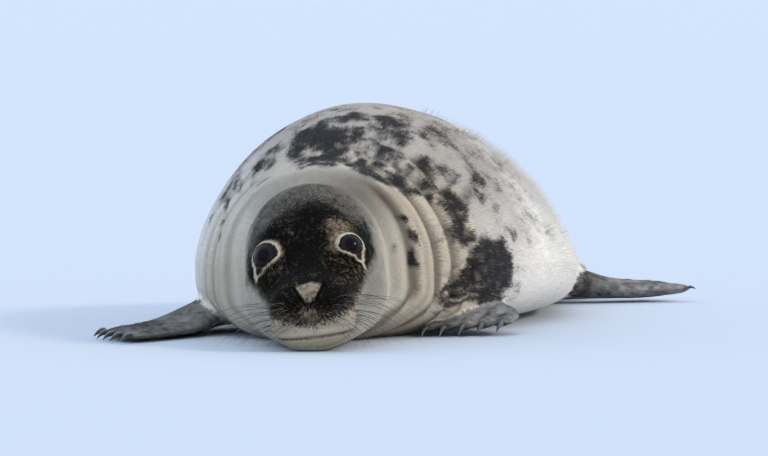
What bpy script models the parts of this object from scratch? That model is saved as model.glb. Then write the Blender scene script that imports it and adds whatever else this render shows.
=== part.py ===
"""A weaned grey seal pup resting on its belly, life size, as a still museum model.

Units are metres, +Z up. The head points to -Y; the body lies back from it and curves towards +X.
The origin is on the floor, under the middle of the whole animal.

The body is one form, drawn by a few smooth curves along the spine and parted by thin cuts into
head, lower jaw, neck, chest, belly and hindquarters. Flippers, tail, claws and eyes are added to
it. Every solid reaches out to the tips of the short coat.
"""

import math

import bpy
import numpy as np

# --- Driving dimensions -------------------------------------------------------------------------

BODY_LENGTH = 1.07  # tip of the nose to the root of the tail, along the spine
GAP = 0.0003  # air between two solids that touch
FLOOR = 0.0

HEAD_END = 0.198  # where the thin cuts cross the spine, measured from the tip of the nose
NECK_END = 0.348
CHEST_END = 0.57
BELLY_END = 0.82

NOSE_ROUND = 0.032  # length over which the muzzle rounds off to the tip of the nose
NOSE_HEIGHT = 0.048
RUMP_ROUND = 0.035
RUMP_HEIGHT = 0.034

HEAD_ROLL = math.radians(7.0)  # the head leans over towards the seal's right
ROLL_HEIGHT = 0.050
ROLL_FADES = (0.14, 0.32)

EYE_RADIUS = 0.0185
EYE_PLACE = (0.0908, 0.0408, 0.1003)  # back from the nose, out from the middle, up from the floor

MOUTH_BACK = 0.078  # how far back the corners of the mouth lie
JAW_BACK = 0.112
MOUTH_HEIGHT = (0.0150, 0.0285)  # in front, and at the corners

# Curves along the spine. Each row is (distance from the tip of the nose, value).
HEADING = (  # degrees that the spine turns away from +Y towards +X
    (0.0, 2.0), (0.20, 3.0), (0.35, 10.0), (0.50, 13.0), (0.70, 18.0),
    (0.85, 27.0), (1.00, 42.0), (1.10, 52.0),
)
HALF_WIDTH = (
    (0.000, 0.042), (0.020, 0.0445), (0.045, 0.0465), (0.065, 0.051), (0.085, 0.060),
    (0.100, 0.067), (0.130, 0.0745), (0.165, 0.077), (0.190, 0.080), (0.207, 0.090),
    (0.230, 0.108), (0.260, 0.121), (0.300, 0.138), (0.350, 0.158), (0.420, 0.179),
    (0.500, 0.193), (0.600, 0.201), (0.680, 0.199), (0.760, 0.187), (0.840, 0.162),
    (0.920, 0.122), (0.980, 0.088), (1.040, 0.060), (1.100, 0.046),
)
BACK_HEIGHT = (
    (0.000, 0.078), (0.020, 0.081), (0.045, 0.090), (0.065, 0.103), (0.080, 0.119),
    (0.095, 0.136), (0.112, 0.150), (0.135, 0.1635), (0.165, 0.1735), (0.200, 0.1735),
    (0.222, 0.188), (0.250, 0.193), (0.280, 0.200), (0.340, 0.223), (0.420, 0.242),
    (0.500, 0.2505), (0.580, 0.252), (0.660, 0.246), (0.750, 0.225), (0.840, 0.189),
    (0.920, 0.148), (0.980, 0.118), (1.040, 0.088), (1.100, 0.068),
)
WIDEST_HEIGHT = (
    (0.00, 0.040), (0.03, 0.036), (0.07, 0.048), (0.10, 0.058), (0.15, 0.066),
    (0.30, 0.072), (0.50, 0.072), (0.70, 0.068), (0.85, 0.058), (0.95, 0.050), (1.10, 0.034),
)
UNDERSIDE = (  # below the floor where the weight presses the belly flat
    (0.000, 0.004), (0.012, 0.000), (0.030, -0.001), (0.060, -0.003), (0.200, -0.004),
    (0.350, -0.008), (0.600, -0.010), (0.850, -0.006), (1.000, -0.002), (1.100, 0.002),
)
BACK_SQUARENESS = (  # below 1 the section is square-shouldered, above 1 it rises to a ridge
    (0.00, 0.85), (0.10, 0.85), (0.15, 0.74), (0.20, 0.80), (0.26, 0.98), (0.40, 1.28),
    (0.60, 1.34), (0.80, 1.25), (1.10, 1.0),
)
BELLY_SQUARENESS = ((0.00, 0.80), (0.12, 0.75), (0.28, 0.55), (0.90, 0.55), (1.10, 0.80))
LEAN = (  # how far the ridge of the back leans over sideways
    (0.0, 0.0), (0.30, 0.0), (0.45, -0.003), (0.60, -0.018), (0.80, -0.022),
    (0.95, -0.010), (1.10, 0.0),
)

# The soft folds of the neck: where each crease crosses the spine.
NECK_CREASES = (0.198, 0.223, 0.273, 0.310, 0.348)
CREASE_DEPTH = 0.0055
CREASE_WIDTH = 0.0060

# Soft swellings and hollows of the face, the same on both sides. Each row is
# (back, out, up) of its middle, its radius, and the push (back, out, up) at its middle.
FACE_FORMS = {
    "nose_pad": ((0.002, 0.000, 0.066), 0.014, (-0.004, 0.000, 0.002)),
    "whisker_pad": ((0.018, 0.027, 0.040), 0.019, (-0.004, 0.005, 0.000)),
    "bridge_side": ((0.055, 0.034, 0.084), 0.018, (0.004, -0.003, -0.003)),
    "eye_rim": ((0.095, 0.047, 0.102), 0.024, (-0.004, 0.003, 0.000)),
    "brow": ((0.104, 0.034, 0.130), 0.018, (-0.005, 0.001, 0.001)),
    "cheek": ((0.110, 0.070, 0.056), 0.034, (-0.002, 0.005, 0.000)),
    "forehead_middle": ((0.105, 0.000, 0.128), 0.016, (0.000, 0.000, -0.003)),
}

HEAD_SIDES = 44
BODY_SIDES = 36

COLOURS = {  # linear base colours
    "coat": (0.52, 0.50, 0.46, 1.0),
    "face": (0.035, 0.030, 0.026, 1.0),
    "flipper": (0.16, 0.15, 0.14, 1.0),
    "claw": (0.020, 0.018, 0.016, 1.0),
    "eye": (0.008, 0.006, 0.006, 1.0),
}
ROUGHNESS = {"coat": 0.85, "face": 0.80, "flipper": 0.80, "claw": 0.35, "eye": 0.05}


# --- Smooth curves --------------------------------------------------------------------------------


def along(points, s):
    """The value at s of a smooth curve through the points, which never swings past them."""
    x, y = np.array(points, float).T
    step, slope = np.diff(x), np.diff(y) / np.diff(x)
    tangent = np.zeros_like(x)
    same_way = slope[:-1] * slope[1:] > 0
    ahead, behind = 2 * step[1:] + step[:-1], step[1:] + 2 * step[:-1]
    with np.errstate(divide="ignore", invalid="ignore"):
        inner = (ahead + behind) / (ahead / slope[:-1] + behind / slope[1:])
    tangent[1:-1] = np.where(same_way, inner, 0.0)
    tangent[0], tangent[-1] = slope[0], slope[-1]
    s = np.clip(np.asarray(s, float), x[0], x[-1])
    i = np.clip(np.searchsorted(x, s, "right") - 1, 0, len(x) - 2)
    t = (s - x[i]) / step[i]
    return (
        (1 + 2 * t) * (1 - t) ** 2 * y[i]
        + t * (1 - t) ** 2 * step[i] * tangent[i]
        + t * t * (3 - 2 * t) * y[i + 1]
        + t * t * (t - 1) * step[i] * tangent[i + 1]
    )


def ease(low, high, s):
    """0 below low, 1 above high, and a smooth step between them."""
    t = np.clip((np.asarray(s, float) - low) / (high - low), 0, 1)
    return t * t * (3 - 2 * t)


SPINE_STEP = 0.001
SPINE_S = np.arange(0.0, 1.2, SPINE_STEP)
SPINE_TURN = np.radians(along(HEADING, SPINE_S))
SPINE_X = np.cumsum(np.sin(SPINE_TURN)) * SPINE_STEP
SPINE_Y = np.cumsum(np.cos(SPINE_TURN)) * SPINE_STEP


def placed(s, out, up):
    """A point of the animal as world coordinates: s along the spine, out to its left, up."""
    s, out, up = np.broadcast_arrays(*(np.asarray(v, float) for v in (s, out, up)))
    roll = HEAD_ROLL * (1 - ease(*ROLL_FADES, s))
    height = up - ROLL_HEIGHT
    side = out * np.cos(roll) - height * np.sin(roll)
    up = ROLL_HEIGHT + height * np.cos(roll) + out * np.sin(roll)
    turn = np.interp(s, SPINE_S, SPINE_TURN)
    x = np.interp(s, SPINE_S, SPINE_X) + side * np.cos(turn)
    y = np.interp(s, SPINE_S, SPINE_Y) - side * np.sin(turn)
    # Distances before the tip of the nose run straight on.
    y = y + np.minimum(s, 0)
    return np.stack([x, y, up], -1)


# --- The body as one form ---------------------------------------------------------------------------


def shaped(s, out, up):
    """The face's swellings and hollows, pushed into points given as (s, out, up)."""
    for centre, radius, push in FACE_FORMS.values():
        for side in (1, -1) if centre[1] else (1,):
            far2 = (s - centre[0]) ** 2 + (out - side * centre[1]) ** 2 + (up - centre[2]) ** 2
            weight = np.exp(-far2 / (radius * radius))
            s = s + push[0] * weight
            out = out + side * push[1] * weight
            up = up + push[2] * weight
    return s, out, up


def creased(s, angle):
    """How far the skin sinks into the folds of the neck, deepest low on the sides."""
    depth = sum(np.exp(-(((s - at) / CREASE_WIDTH) ** 2)) for at in NECK_CREASES)
    low = 0.35 + 0.65 * ease(0.25, 1.3, np.abs(np.arctan2(np.sin(angle), np.cos(angle))))
    return CREASE_DEPTH * depth * low


def skin_point(s, angle, grown=0.0):
    """The surface of the body at s along the spine and an angle round it from the back."""
    crease = creased(s, angle)
    width, back = along(HALF_WIDTH, s) + grown - crease, along(BACK_HEIGHT, s) + grown - crease
    widest, under = along(WIDEST_HEIGHT, s), along(UNDERSIDE, s) - grown
    nose = np.sqrt(np.clip(1 - np.clip(1 - s / NOSE_ROUND, 0, 1) ** 2, 0, 1))
    rump_left = (BODY_LENGTH + grown - s) / RUMP_ROUND
    rump = np.sqrt(np.clip(1 - np.clip(1 - rump_left, 0, 1) ** 2, 0, 1))
    middle = np.where(s < 0.5, NOSE_HEIGHT, RUMP_HEIGHT)
    size = np.minimum(nose, rump)
    across, upwards = np.sin(angle), np.cos(angle)
    squareness = along(BELLY_SQUARENESS, s)
    above = widest + (back - widest) * np.abs(upwards) ** along(BACK_SQUARENESS, s)
    below = widest - (widest - under) * np.abs(upwards) ** squareness
    up = np.where(upwards > 0, above, below)
    up = middle + (up - middle) * size
    out = width * across * size + along(LEAN, s) * np.clip(upwards, 0, 1)
    s, out, up = shaped(s, out, up)
    point = placed(s, out, up)
    point[..., 2] = np.maximum(point[..., 2], FLOOR - grown)
    return point


def new_object(name, vertices, faces, look):
    mesh = bpy.data.meshes.new(name)
    mesh.from_pydata([tuple(v) for v in np.asarray(vertices, float)], [], faces)
    mesh.update()
    part = bpy.data.objects.new(name, mesh)
    bpy.context.scene.collection.objects.link(part)
    part.data.materials.append(material(look))
    mesh.shade_smooth()
    return part


def material(look):
    found = bpy.data.materials.get(look)
    if found:
        return found
    made = bpy.data.materials.new(look)
    made.use_nodes = True
    shader = made.node_tree.nodes["Principled BSDF"]
    shader.inputs["Base Color"].default_value = COLOURS[look]
    shader.inputs["Roughness"].default_value = ROUGHNESS[look]
    shader.inputs["Metallic"].default_value = 0.0
    return made


def lofted(rings):
    """Vertices and faces of a closed form through rings of points. A ring of one point is a tip."""
    vertices, faces, starts = [], [], []
    for ring in rings:
        starts.append(len(vertices))
        vertices.extend(ring)
    for i in range(len(rings) - 1):
        a, b = starts[i], starts[i + 1]
        count = max(len(rings[i]), len(rings[i + 1]))
        for k in range(count):
            n = (k + 1) % count
            if len(rings[i]) == 1:
                faces.append((a, b + n, b + k))
            elif len(rings[i + 1]) == 1:
                faces.append((a + k, a + n, b))
            else:
                faces.append((a + k, a + n, b + n, b + k))
    if len(rings[0]) > 1:
        faces.append(tuple(reversed(range(len(rings[0])))))
    if len(rings[-1]) > 1:
        faces.append(tuple(starts[-1] + k for k in range(len(rings[-1]))))
    return vertices, faces


def body_rings(stations, sides, grown=0.0):
    angles = np.arange(sides) * 2 * math.pi / sides
    rings = []
    for s in stations:
        ring = skin_point(np.full(sides, s), angles, grown)
        rings.append(ring[:1] if s <= 0 or s >= BODY_LENGTH + grown else ring)
    return rings


def stretch(name, stations, sides, look):
    """One length of the body, with a flat cut at each end that isn't a tip."""
    return new_object(name, *lofted(body_rings(stations, sides)), look)


def neck_stations():
    """Close enough together to draw every fold of the neck, ridge and crease."""
    inner = []
    for near, far in zip(NECK_CREASES, NECK_CREASES[1:]):
        inner += [near + (far - near) * share for share in (0.0, 0.13, 0.3, 0.5, 0.7, 0.87)]
    return [HEAD_END + GAP / 2] + inner[1:] + [NECK_END - GAP / 2]


def even(start, end, count):
    return [start + (end - start) * i / (count - 1) for i in range(count)]


def muzzle_stations():
    """From the tip of the nose back to the first cut, close together where the muzzle is round."""
    front = [NOSE_ROUND * (1 - math.cos(math.pi / 2 * i / 5)) for i in range(6)]
    return front + even(0.042, HEAD_END - GAP / 2, 14)


def chest_stations():
    return even(NECK_END + GAP / 2, CHEST_END - GAP / 2, 10)


def belly_stations():
    return even(CHEST_END + GAP / 2, BELLY_END - GAP / 2, 10)


def rump_stations():
    back = [BODY_LENGTH - RUMP_ROUND * (1 - math.sin(math.pi / 2 * i / 5)) for i in range(6)]
    return even(BELLY_END + GAP / 2, back[0] - 0.02, 10) + back


# --- Cutting one solid by another ---------------------------------------------------------------------


def helper(part):
    part.hide_render = True
    part.display_type = "WIRE"
    return part


def cut(part, cutter, operation="DIFFERENCE"):
    boolean = part.modifiers.new(operation.lower(), "BOOLEAN")
    boolean.operation = operation
    boolean.object = cutter


# --- Head, jaw and eyes ---------------------------------------------------------------------------------


def jaw_block(name, grown):
    """The space below the closed mouth, from the lips back to the angle of the jaw."""
    front, corner = MOUTH_HEIGHT
    upper = [(-0.03, front), (0.010, front), (0.045, front + 0.003), (MOUTH_BACK, corner)]
    outline = upper + [(JAW_BACK, corner - 0.006), (JAW_BACK + 0.004, -0.05), (-0.03, -0.05)]
    middle = np.mean(outline, axis=0)
    rings = []
    for side in (-0.10, 0.10):
        ring = []
        for s, up in reversed(outline):
            away = np.sign(np.array([s, up]) - middle) * grown
            ring.append(placed(s + away[0], side, up + away[1]))
        rings.append(np.array(ring))
    return helper(new_object(name, *lofted(rings), "face"))


def make_head():
    head = stretch("head", muzzle_stations(), HEAD_SIDES, "face")
    jaw = stretch("lower_jaw", muzzle_stations(), HEAD_SIDES, "face")
    cut(head, jaw_block("jaw_room", GAP))
    cut(jaw, jaw_block("jaw_space", 0.0), "INTERSECT")
    for side, name in ((1, "left"), (-1, "right")):
        eye = make_eye("eye_" + name, side, EYE_RADIUS)
        eye.data.materials[0] = material("eye")
        cut(head, helper(make_eye("socket_" + name, side, EYE_RADIUS + GAP)))


def make_eye(name, side, radius):
    s, out, up = EYE_PLACE
    rings, sides, bands = [], 16, 8
    for band in range(bands + 1):
        tilt = math.pi * band / bands
        reach = radius * math.sin(tilt)
        ring = [
            (
                reach * math.cos(2 * math.pi * k / sides),
                -radius * math.cos(tilt),
                -reach * math.sin(2 * math.pi * k / sides),
            )
            for k in range(sides)
        ]
        rings.append(np.array(ring[:1] if band in (0, bands) else ring))
    eye = new_object(name, *lofted(rings), "face")
    eye.location = placed(s, side * out, up)
    return eye


# --- Flippers ---------------------------------------------------------------------------------------------

DIGITS = 5
DIGIT_STEP = 0.4  # between neighbouring digits, where the flipper runs from -1 to 1 across


def digit_ridge(across):
    """1 along each digit and 0 in the webs between them."""
    return 0.5 + 0.5 * np.cos(2 * math.pi * (across + 0.8) / DIGIT_STEP)


class Flipper:
    """A webbed paddle that follows a path from inside the body out to the tips of its digits."""

    def __init__(self, path, leading, half_widths, thicknesses, reach, scallop, spread):
        self.path = np.array(path, float)
        self.leading = np.array(leading, float)
        self.half_widths, self.thicknesses = half_widths, thicknesses
        self.reach, self.scallop, self.spread = reach, scallop, spread
        steps = np.linalg.norm(np.diff(self.path, axis=0), axis=1)
        self.marks = np.concatenate([[0], np.cumsum(steps)]) / steps.sum()

    def line(self, rows, a):
        rows = np.asarray(rows, float)
        columns = [along(list(zip(self.marks, rows[:, k])), a) for k in range(rows.shape[1])]
        return np.stack(columns, -1)

    def frame(self, a):
        small = 0.01
        forward = self.line(self.path, a + small) - self.line(self.path, a - small)
        forward /= np.linalg.norm(forward, axis=-1, keepdims=True)
        edge = self.line(self.leading, a)
        edge -= (edge * forward).sum(-1, keepdims=True) * forward
        edge /= np.linalg.norm(edge, axis=-1, keepdims=True)
        up = np.cross(edge, forward)
        up *= np.where(up[..., 2:] < 0, -1, 1)
        return forward, edge, up

    def point(self, a, across, side):
        """The paddle's surface: a runs 0 to 1 outwards, across -1 (trailing) to 1 (leading)."""
        a, across = np.broadcast_arrays(np.asarray(a, float), np.asarray(across, float))
        distal = ease(0.45, 1.0, a)
        ridge = digit_ridge(across)
        longest = along(self.reach, across)
        shortened = a - distal * (1 - longest) - distal * self.scallop * (1 - ridge)
        shortened = np.clip(shortened, 0, 0.989)
        forward, edge, up = self.frame(shortened)
        width = along(self.half_widths, a)
        thick = along(self.thicknesses, a) * (1 - 0.45 * distal * (1 - ridge))
        rim = np.sqrt(np.clip(1 - np.abs(across) ** 3, 0, 1))
        tip = np.sqrt(np.clip(1 - np.clip((a - 0.90) / 0.10, 0, 1) ** 2, 0.04, 1))
        centre = self.line(self.path, shortened)
        fan = self.spread * across * np.clip(a - 0.5, 0, 1)
        point = centre + edge * (width * across + fan)[..., None]
        point = point + up * (side * 0.5 * thick * rim * tip)[..., None]
        point[..., 2] = np.maximum(point[..., 2], FLOOR)
        return point

    def rings(self, lengths, columns):
        across = np.linspace(-1, 1, columns)
        found = []
        for a in lengths:
            top = self.point(a, across, 1)
            low = self.point(a, across[1:-1][::-1], -1)
            found.append(np.concatenate([top, low]))
        return found

    def claw_places(self):
        """For each digit: where its claw starts, and which way it points."""
        for k in range(DIGITS):
            across = -0.8 + DIGIT_STEP * k
            tip = (self.point(1.0, across, 1) + self.point(1.0, across, -1)) / 2
            before = (self.point(0.85, across, 1) + self.point(0.85, across, -1)) / 2
            direction = (tip - before) / np.linalg.norm(tip - before)
            yield tip, direction


def flipper_forms():
    """The four flippers, each as a path of world points and the way its leading edge faces."""
    forms = {}
    fore_width = ((0.0, 0.040), (0.35, 0.038), (0.7, 0.040), (1.0, 0.038))
    fore_thick = ((0.0, 0.050), (0.35, 0.032), (0.65, 0.020), (0.85, 0.015), (1.0, 0.011))
    fore_reach = ((-1.0, 0.80), (-0.4, 0.89), (0.4, 0.97), (0.8, 1.0), (1.0, 0.97))
    forms["fore_right"] = Flipper(
        path=[
            placed(0.430, -0.085, 0.040), placed(0.395, -0.132, 0.026),
            (-0.160, 0.288, 0.010), (-0.197, 0.228, 0.008), (-0.228, 0.178, 0.007),
        ],
        leading=[(0.6, -0.8, 0.3), (0.7, -0.7, 0.2), (0.84, -0.54, 0.05), (0.84, -0.54, 0.0),
                 (0.84, -0.54, 0.0)],
        half_widths=fore_width, thicknesses=fore_thick, reach=fore_reach,
        scallop=0.035, spread=0.012,
    )
    forms["fore_left"] = Flipper(
        path=[
            placed(0.470, 0.080, 0.038), placed(0.435, 0.120, 0.030),
            (0.184, 0.348, 0.021), (0.171, 0.308, 0.014), (0.160, 0.266, 0.008),
        ],
        leading=[(-0.6, -0.4, 0.3), (-0.8, -0.3, 0.1), (-1, 0.1, 0.0), (-1, 0.2, 0.0),
                 (-1, 0.25, 0.0)],
        half_widths=fore_width, thicknesses=fore_thick, reach=fore_reach,
        scallop=0.035, spread=0.020,
    )
    hind_width = ((0.0, 0.028), (0.3, 0.028), (0.6, 0.031), (1.0, 0.036))
    hind_thick = ((0.0, 0.050), (0.3, 0.040), (0.55, 0.028), (0.8, 0.023), (1.0, 0.018))
    hind_reach = ((-1.0, 0.98), (-0.8, 1.0), (0.0, 0.90), (0.8, 1.0), (1.0, 0.98))
    for name, side, heading, rise in (
        ("hind_left", 1, 66.0, 0.0165), ("hind_right", -1, 46.0, 0.0130),
    ):
        turn = math.radians(heading)
        onward = np.array([math.sin(turn), math.cos(turn), 0.0])
        edge = np.array([math.cos(turn), -math.sin(turn), 0.0]) * side
        start = placed(0.965, side * 0.036, 0.038)
        ankle = placed(1.040, side * 0.038, 0.027)
        forms[name] = Flipper(
            path=[
                start, ankle,
                ankle * [1, 1, 0] + onward * 0.050 + [0, 0, 0.018],
                ankle * [1, 1, 0] + onward * 0.100 + [0, 0, rise - 0.001],
                ankle * [1, 1, 0] + onward * 0.150 + [0, 0, rise],
            ],
            leading=[edge] * 5,
            half_widths=hind_width, thicknesses=hind_thick, reach=hind_reach,
            scallop=0.045, spread=0.0,
        )
    return forms


FLIPPER_LENGTHS = (0.0, 0.12, 0.24, 0.36, 0.48, 0.58, 0.68, 0.78, 0.86, 0.93, 0.98, 1.0)
FLIPPER_COLUMNS = 11
CLAW = {"fore": (0.017, 0.0034), "hind": (0.008, 0.0020)}  # length and radius at the root
CLAW_CURVE = 0.35  # how far the tip drops, as a share of the length


def make_claw(name, start, direction, length, radius):
    sideways = np.cross((0, 0, 1), direction)
    sideways /= np.linalg.norm(sideways)
    up = np.cross(direction, sideways)
    rings, sides = [], 6
    for share in (0.0, 0.35, 0.7, 1.0):
        droop = CLAW_CURVE * length * share**2
        centre = direction * (0.0022 + length * share) + up * (0.0014 - droop)
        reach = radius * (1 - share) ** 0.7
        ring = [
            centre
            + sideways * reach * 0.8 * math.cos(2 * math.pi * k / sides)
            + up * reach * math.sin(2 * math.pi * k / sides)
            for k in range(sides)
        ]
        ring = np.array(ring[:1] if share == 1.0 else ring)
        ring[:, 2] = np.maximum(ring[:, 2], FLOOR - start[2])
        rings.append(ring)
    claw = new_object(name, *lofted(rings), "claw")
    claw.location = start


def make_limbs():
    stations = neck_stations() + chest_stations() + belly_stations() + rump_stations()
    stations = [s + GAP * (s > BODY_LENGTH - RUMP_ROUND) for s in stations]
    rings = body_rings(stations, BODY_SIDES, GAP)
    envelope = helper(new_object("body_envelope", *lofted(rings), "coat"))
    for name, form in flipper_forms().items():
        flipper = new_object(
            "flipper_" + name, *lofted(form.rings(FLIPPER_LENGTHS, FLIPPER_COLUMNS)), "flipper"
        )
        cut(flipper, envelope)
        for number, (start, direction) in enumerate(form.claw_places(), 1):
            make_claw(
                f"claw_{name}_{number}", start, direction, *CLAW[name.split("_")[0]]
            )
    cut(make_tail(), envelope)


def make_tail():
    """The short flat tail between the hind flippers."""
    length, sides = 0.062, 12
    rings = []
    for share in (0.0, 0.25, 0.5, 0.75, 0.92, 1.0):
        s = 1.045 + length * share
        wide = 0.018 * math.sqrt(max(1 - share**2.2, 0))
        thick = 0.011 * math.sqrt(max(1 - share**2.2, 0))
        angles = np.arange(sides) * 2 * math.pi / sides
        ring = placed(
            np.full(sides, s), wide * np.sin(angles), 0.052 - 0.012 * share + thick * np.cos(angles)
        )
        rings.append(ring[:1] if share == 1.0 else ring)
    return new_object("tail", *lofted(rings), "coat")


def centre_on_floor():
    """Hangs the animal on an empty, so that the origin is under the middle of its bounding box."""
    bpy.context.view_layer.update()
    graph = bpy.context.evaluated_depsgraph_get()
    corners = []
    for part in bpy.context.scene.objects:
        if not part.hide_render:
            solid = part.evaluated_get(graph).to_mesh()
            corners += [tuple(part.matrix_world @ v.co) for v in solid.vertices]
    corners = np.array(corners)
    middle = (corners.min(0) + corners.max(0)) / 2
    stand = bpy.data.objects.new("seal_place", None)
    for part in list(bpy.context.scene.objects):
        part.parent = stand
    bpy.context.scene.collection.objects.link(stand)
    stand.location = (-middle[0], -middle[1], -corners[:, 2].min())


def main():
    for old in list(bpy.data.objects):
        bpy.data.objects.remove(old)
    make_head()
    stretch("neck", neck_stations(), BODY_SIDES, "coat")
    stretch("chest", chest_stations(), BODY_SIDES, "coat")
    stretch("belly", belly_stations(), BODY_SIDES, "coat")
    stretch("hindquarters", rump_stations(), BODY_SIDES, "coat")
    make_limbs()
    centre_on_floor()


main()
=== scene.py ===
"""A weaned grey seal pup resting on its belly, finished for show around its solid model.

Metres throughout, +Z up. The head points to -Y and the body curves back towards +X.
"""

import math

import bmesh
import bpy
import numpy as np
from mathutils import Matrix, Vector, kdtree


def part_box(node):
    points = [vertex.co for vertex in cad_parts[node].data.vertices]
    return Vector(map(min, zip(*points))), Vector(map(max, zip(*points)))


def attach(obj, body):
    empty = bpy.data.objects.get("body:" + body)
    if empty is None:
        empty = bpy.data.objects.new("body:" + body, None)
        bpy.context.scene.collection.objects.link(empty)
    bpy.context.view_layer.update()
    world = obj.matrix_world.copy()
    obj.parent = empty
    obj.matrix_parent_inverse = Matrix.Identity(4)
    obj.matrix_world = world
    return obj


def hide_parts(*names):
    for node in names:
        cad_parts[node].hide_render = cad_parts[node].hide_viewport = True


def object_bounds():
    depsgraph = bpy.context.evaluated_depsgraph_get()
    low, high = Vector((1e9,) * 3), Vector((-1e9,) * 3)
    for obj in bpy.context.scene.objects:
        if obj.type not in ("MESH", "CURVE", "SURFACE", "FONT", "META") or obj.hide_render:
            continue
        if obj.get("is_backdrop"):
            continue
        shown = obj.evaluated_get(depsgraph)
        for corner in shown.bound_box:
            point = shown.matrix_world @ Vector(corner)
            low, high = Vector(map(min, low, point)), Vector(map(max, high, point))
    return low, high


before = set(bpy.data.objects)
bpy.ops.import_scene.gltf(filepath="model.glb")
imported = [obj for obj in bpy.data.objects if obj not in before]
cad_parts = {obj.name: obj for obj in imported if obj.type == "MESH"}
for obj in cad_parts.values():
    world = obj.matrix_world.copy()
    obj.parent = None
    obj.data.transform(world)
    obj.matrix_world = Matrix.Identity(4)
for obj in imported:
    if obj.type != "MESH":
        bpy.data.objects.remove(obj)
cad_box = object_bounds()


# --- The skin -------------------------------------------------------------------------------------
# One unbroken skin from the lips to the tips of the flippers, over deep blubber. It lies under the
# solid model's surface by the depth of the coat, folds softly round the neck and the shoulders,
# and is pressed flat where the animal rests on the floor.

BODY_LENGTH = 1.07
NOSE_ROUND = 0.032
NOSE_HEIGHT = 0.048
RUMP_ROUND = 0.035
RUMP_HEIGHT = 0.034
HEAD_ROLL = math.radians(7.0)
ROLL_HEIGHT = 0.050
ROLL_FADES = (0.14, 0.32)
EYE_RADIUS = 0.0185
EYE_PLACE = (0.0908, 0.0408, 0.1003)

HEADING = (
    (0.0, 2.0), (0.20, 3.0), (0.35, 10.0), (0.50, 13.0), (0.70, 18.0),
    (0.85, 27.0), (1.00, 42.0), (1.10, 52.0),
)
HALF_WIDTH = (
    (0.000, 0.042), (0.020, 0.0445), (0.045, 0.0465), (0.065, 0.051), (0.085, 0.060),
    (0.100, 0.067), (0.130, 0.0745), (0.165, 0.077), (0.190, 0.080), (0.207, 0.090),
    (0.230, 0.108), (0.260, 0.121), (0.300, 0.138), (0.350, 0.158), (0.420, 0.179),
    (0.500, 0.193), (0.600, 0.201), (0.680, 0.199), (0.760, 0.187), (0.840, 0.162),
    (0.920, 0.122), (0.980, 0.088), (1.040, 0.060), (1.100, 0.046),
)
BACK_HEIGHT = (
    (0.000, 0.078), (0.020, 0.081), (0.045, 0.090), (0.065, 0.103), (0.080, 0.119),
    (0.095, 0.136), (0.112, 0.150), (0.135, 0.1635), (0.165, 0.1735), (0.200, 0.1735),
    (0.222, 0.188), (0.250, 0.193), (0.280, 0.200), (0.340, 0.223), (0.420, 0.242),
    (0.500, 0.2505), (0.580, 0.252), (0.660, 0.246), (0.750, 0.225), (0.840, 0.189),
    (0.920, 0.148), (0.980, 0.118), (1.040, 0.088), (1.100, 0.068),
)
WIDEST_HEIGHT = (
    (0.00, 0.040), (0.03, 0.036), (0.07, 0.048), (0.10, 0.058), (0.15, 0.066),
    (0.30, 0.072), (0.50, 0.072), (0.70, 0.068), (0.85, 0.058), (0.95, 0.050), (1.10, 0.034),
)
UNDERSIDE = (
    (0.000, 0.004), (0.012, 0.000), (0.030, -0.001), (0.060, -0.003), (0.200, -0.004),
    (0.350, -0.008), (0.600, -0.010), (0.850, -0.006), (1.000, -0.002), (1.100, 0.002),
)
BACK_SQUARENESS = (
    (0.00, 0.85), (0.10, 0.85), (0.15, 0.74), (0.20, 0.80), (0.26, 0.98), (0.40, 1.28),
    (0.60, 1.34), (0.80, 1.25), (1.10, 1.0),
)
BELLY_SQUARENESS = ((0.00, 0.80), (0.12, 0.75), (0.28, 0.55), (0.90, 0.55), (1.10, 0.80))
LEAN = (
    (0.0, 0.0), (0.30, 0.0), (0.45, -0.003), (0.60, -0.018), (0.80, -0.022),
    (0.95, -0.010), (1.10, 0.0),
)
NECK_CREASES = (0.198, 0.223, 0.273, 0.310, 0.348)
CREASE_DEPTH = 0.0024  # softer than the CAD's cuts, as the coat fills them
CREASE_WIDTH = 0.0085
FACE_FORMS = {
    "nose_pad": ((0.002, 0.000, 0.066), 0.014, (-0.004, 0.000, 0.002)),
    "whisker_pad": ((0.018, 0.027, 0.040), 0.019, (-0.004, 0.005, 0.000)),
    "bridge_side": ((0.055, 0.034, 0.084), 0.018, (0.004, -0.003, -0.003)),
    "eye_rim": ((0.095, 0.047, 0.102), 0.024, (-0.004, 0.003, 0.000)),
    "brow": ((0.104, 0.034, 0.130), 0.018, (-0.005, 0.001, 0.001)),
    "cheek": ((0.110, 0.070, 0.056), 0.034, (-0.002, 0.005, 0.000)),
    "forehead_middle": ((0.105, 0.000, 0.128), 0.016, (0.000, 0.000, -0.003)),
}
SKIN_CLEARANCE = 0.0006  # how far the skin stays off the floor
COAT_DEPTH = ((0.00, 0.0009), (0.10, 0.0011), (0.18, 0.0016), (0.30, 0.0021), (1.10, 0.0023))


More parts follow.
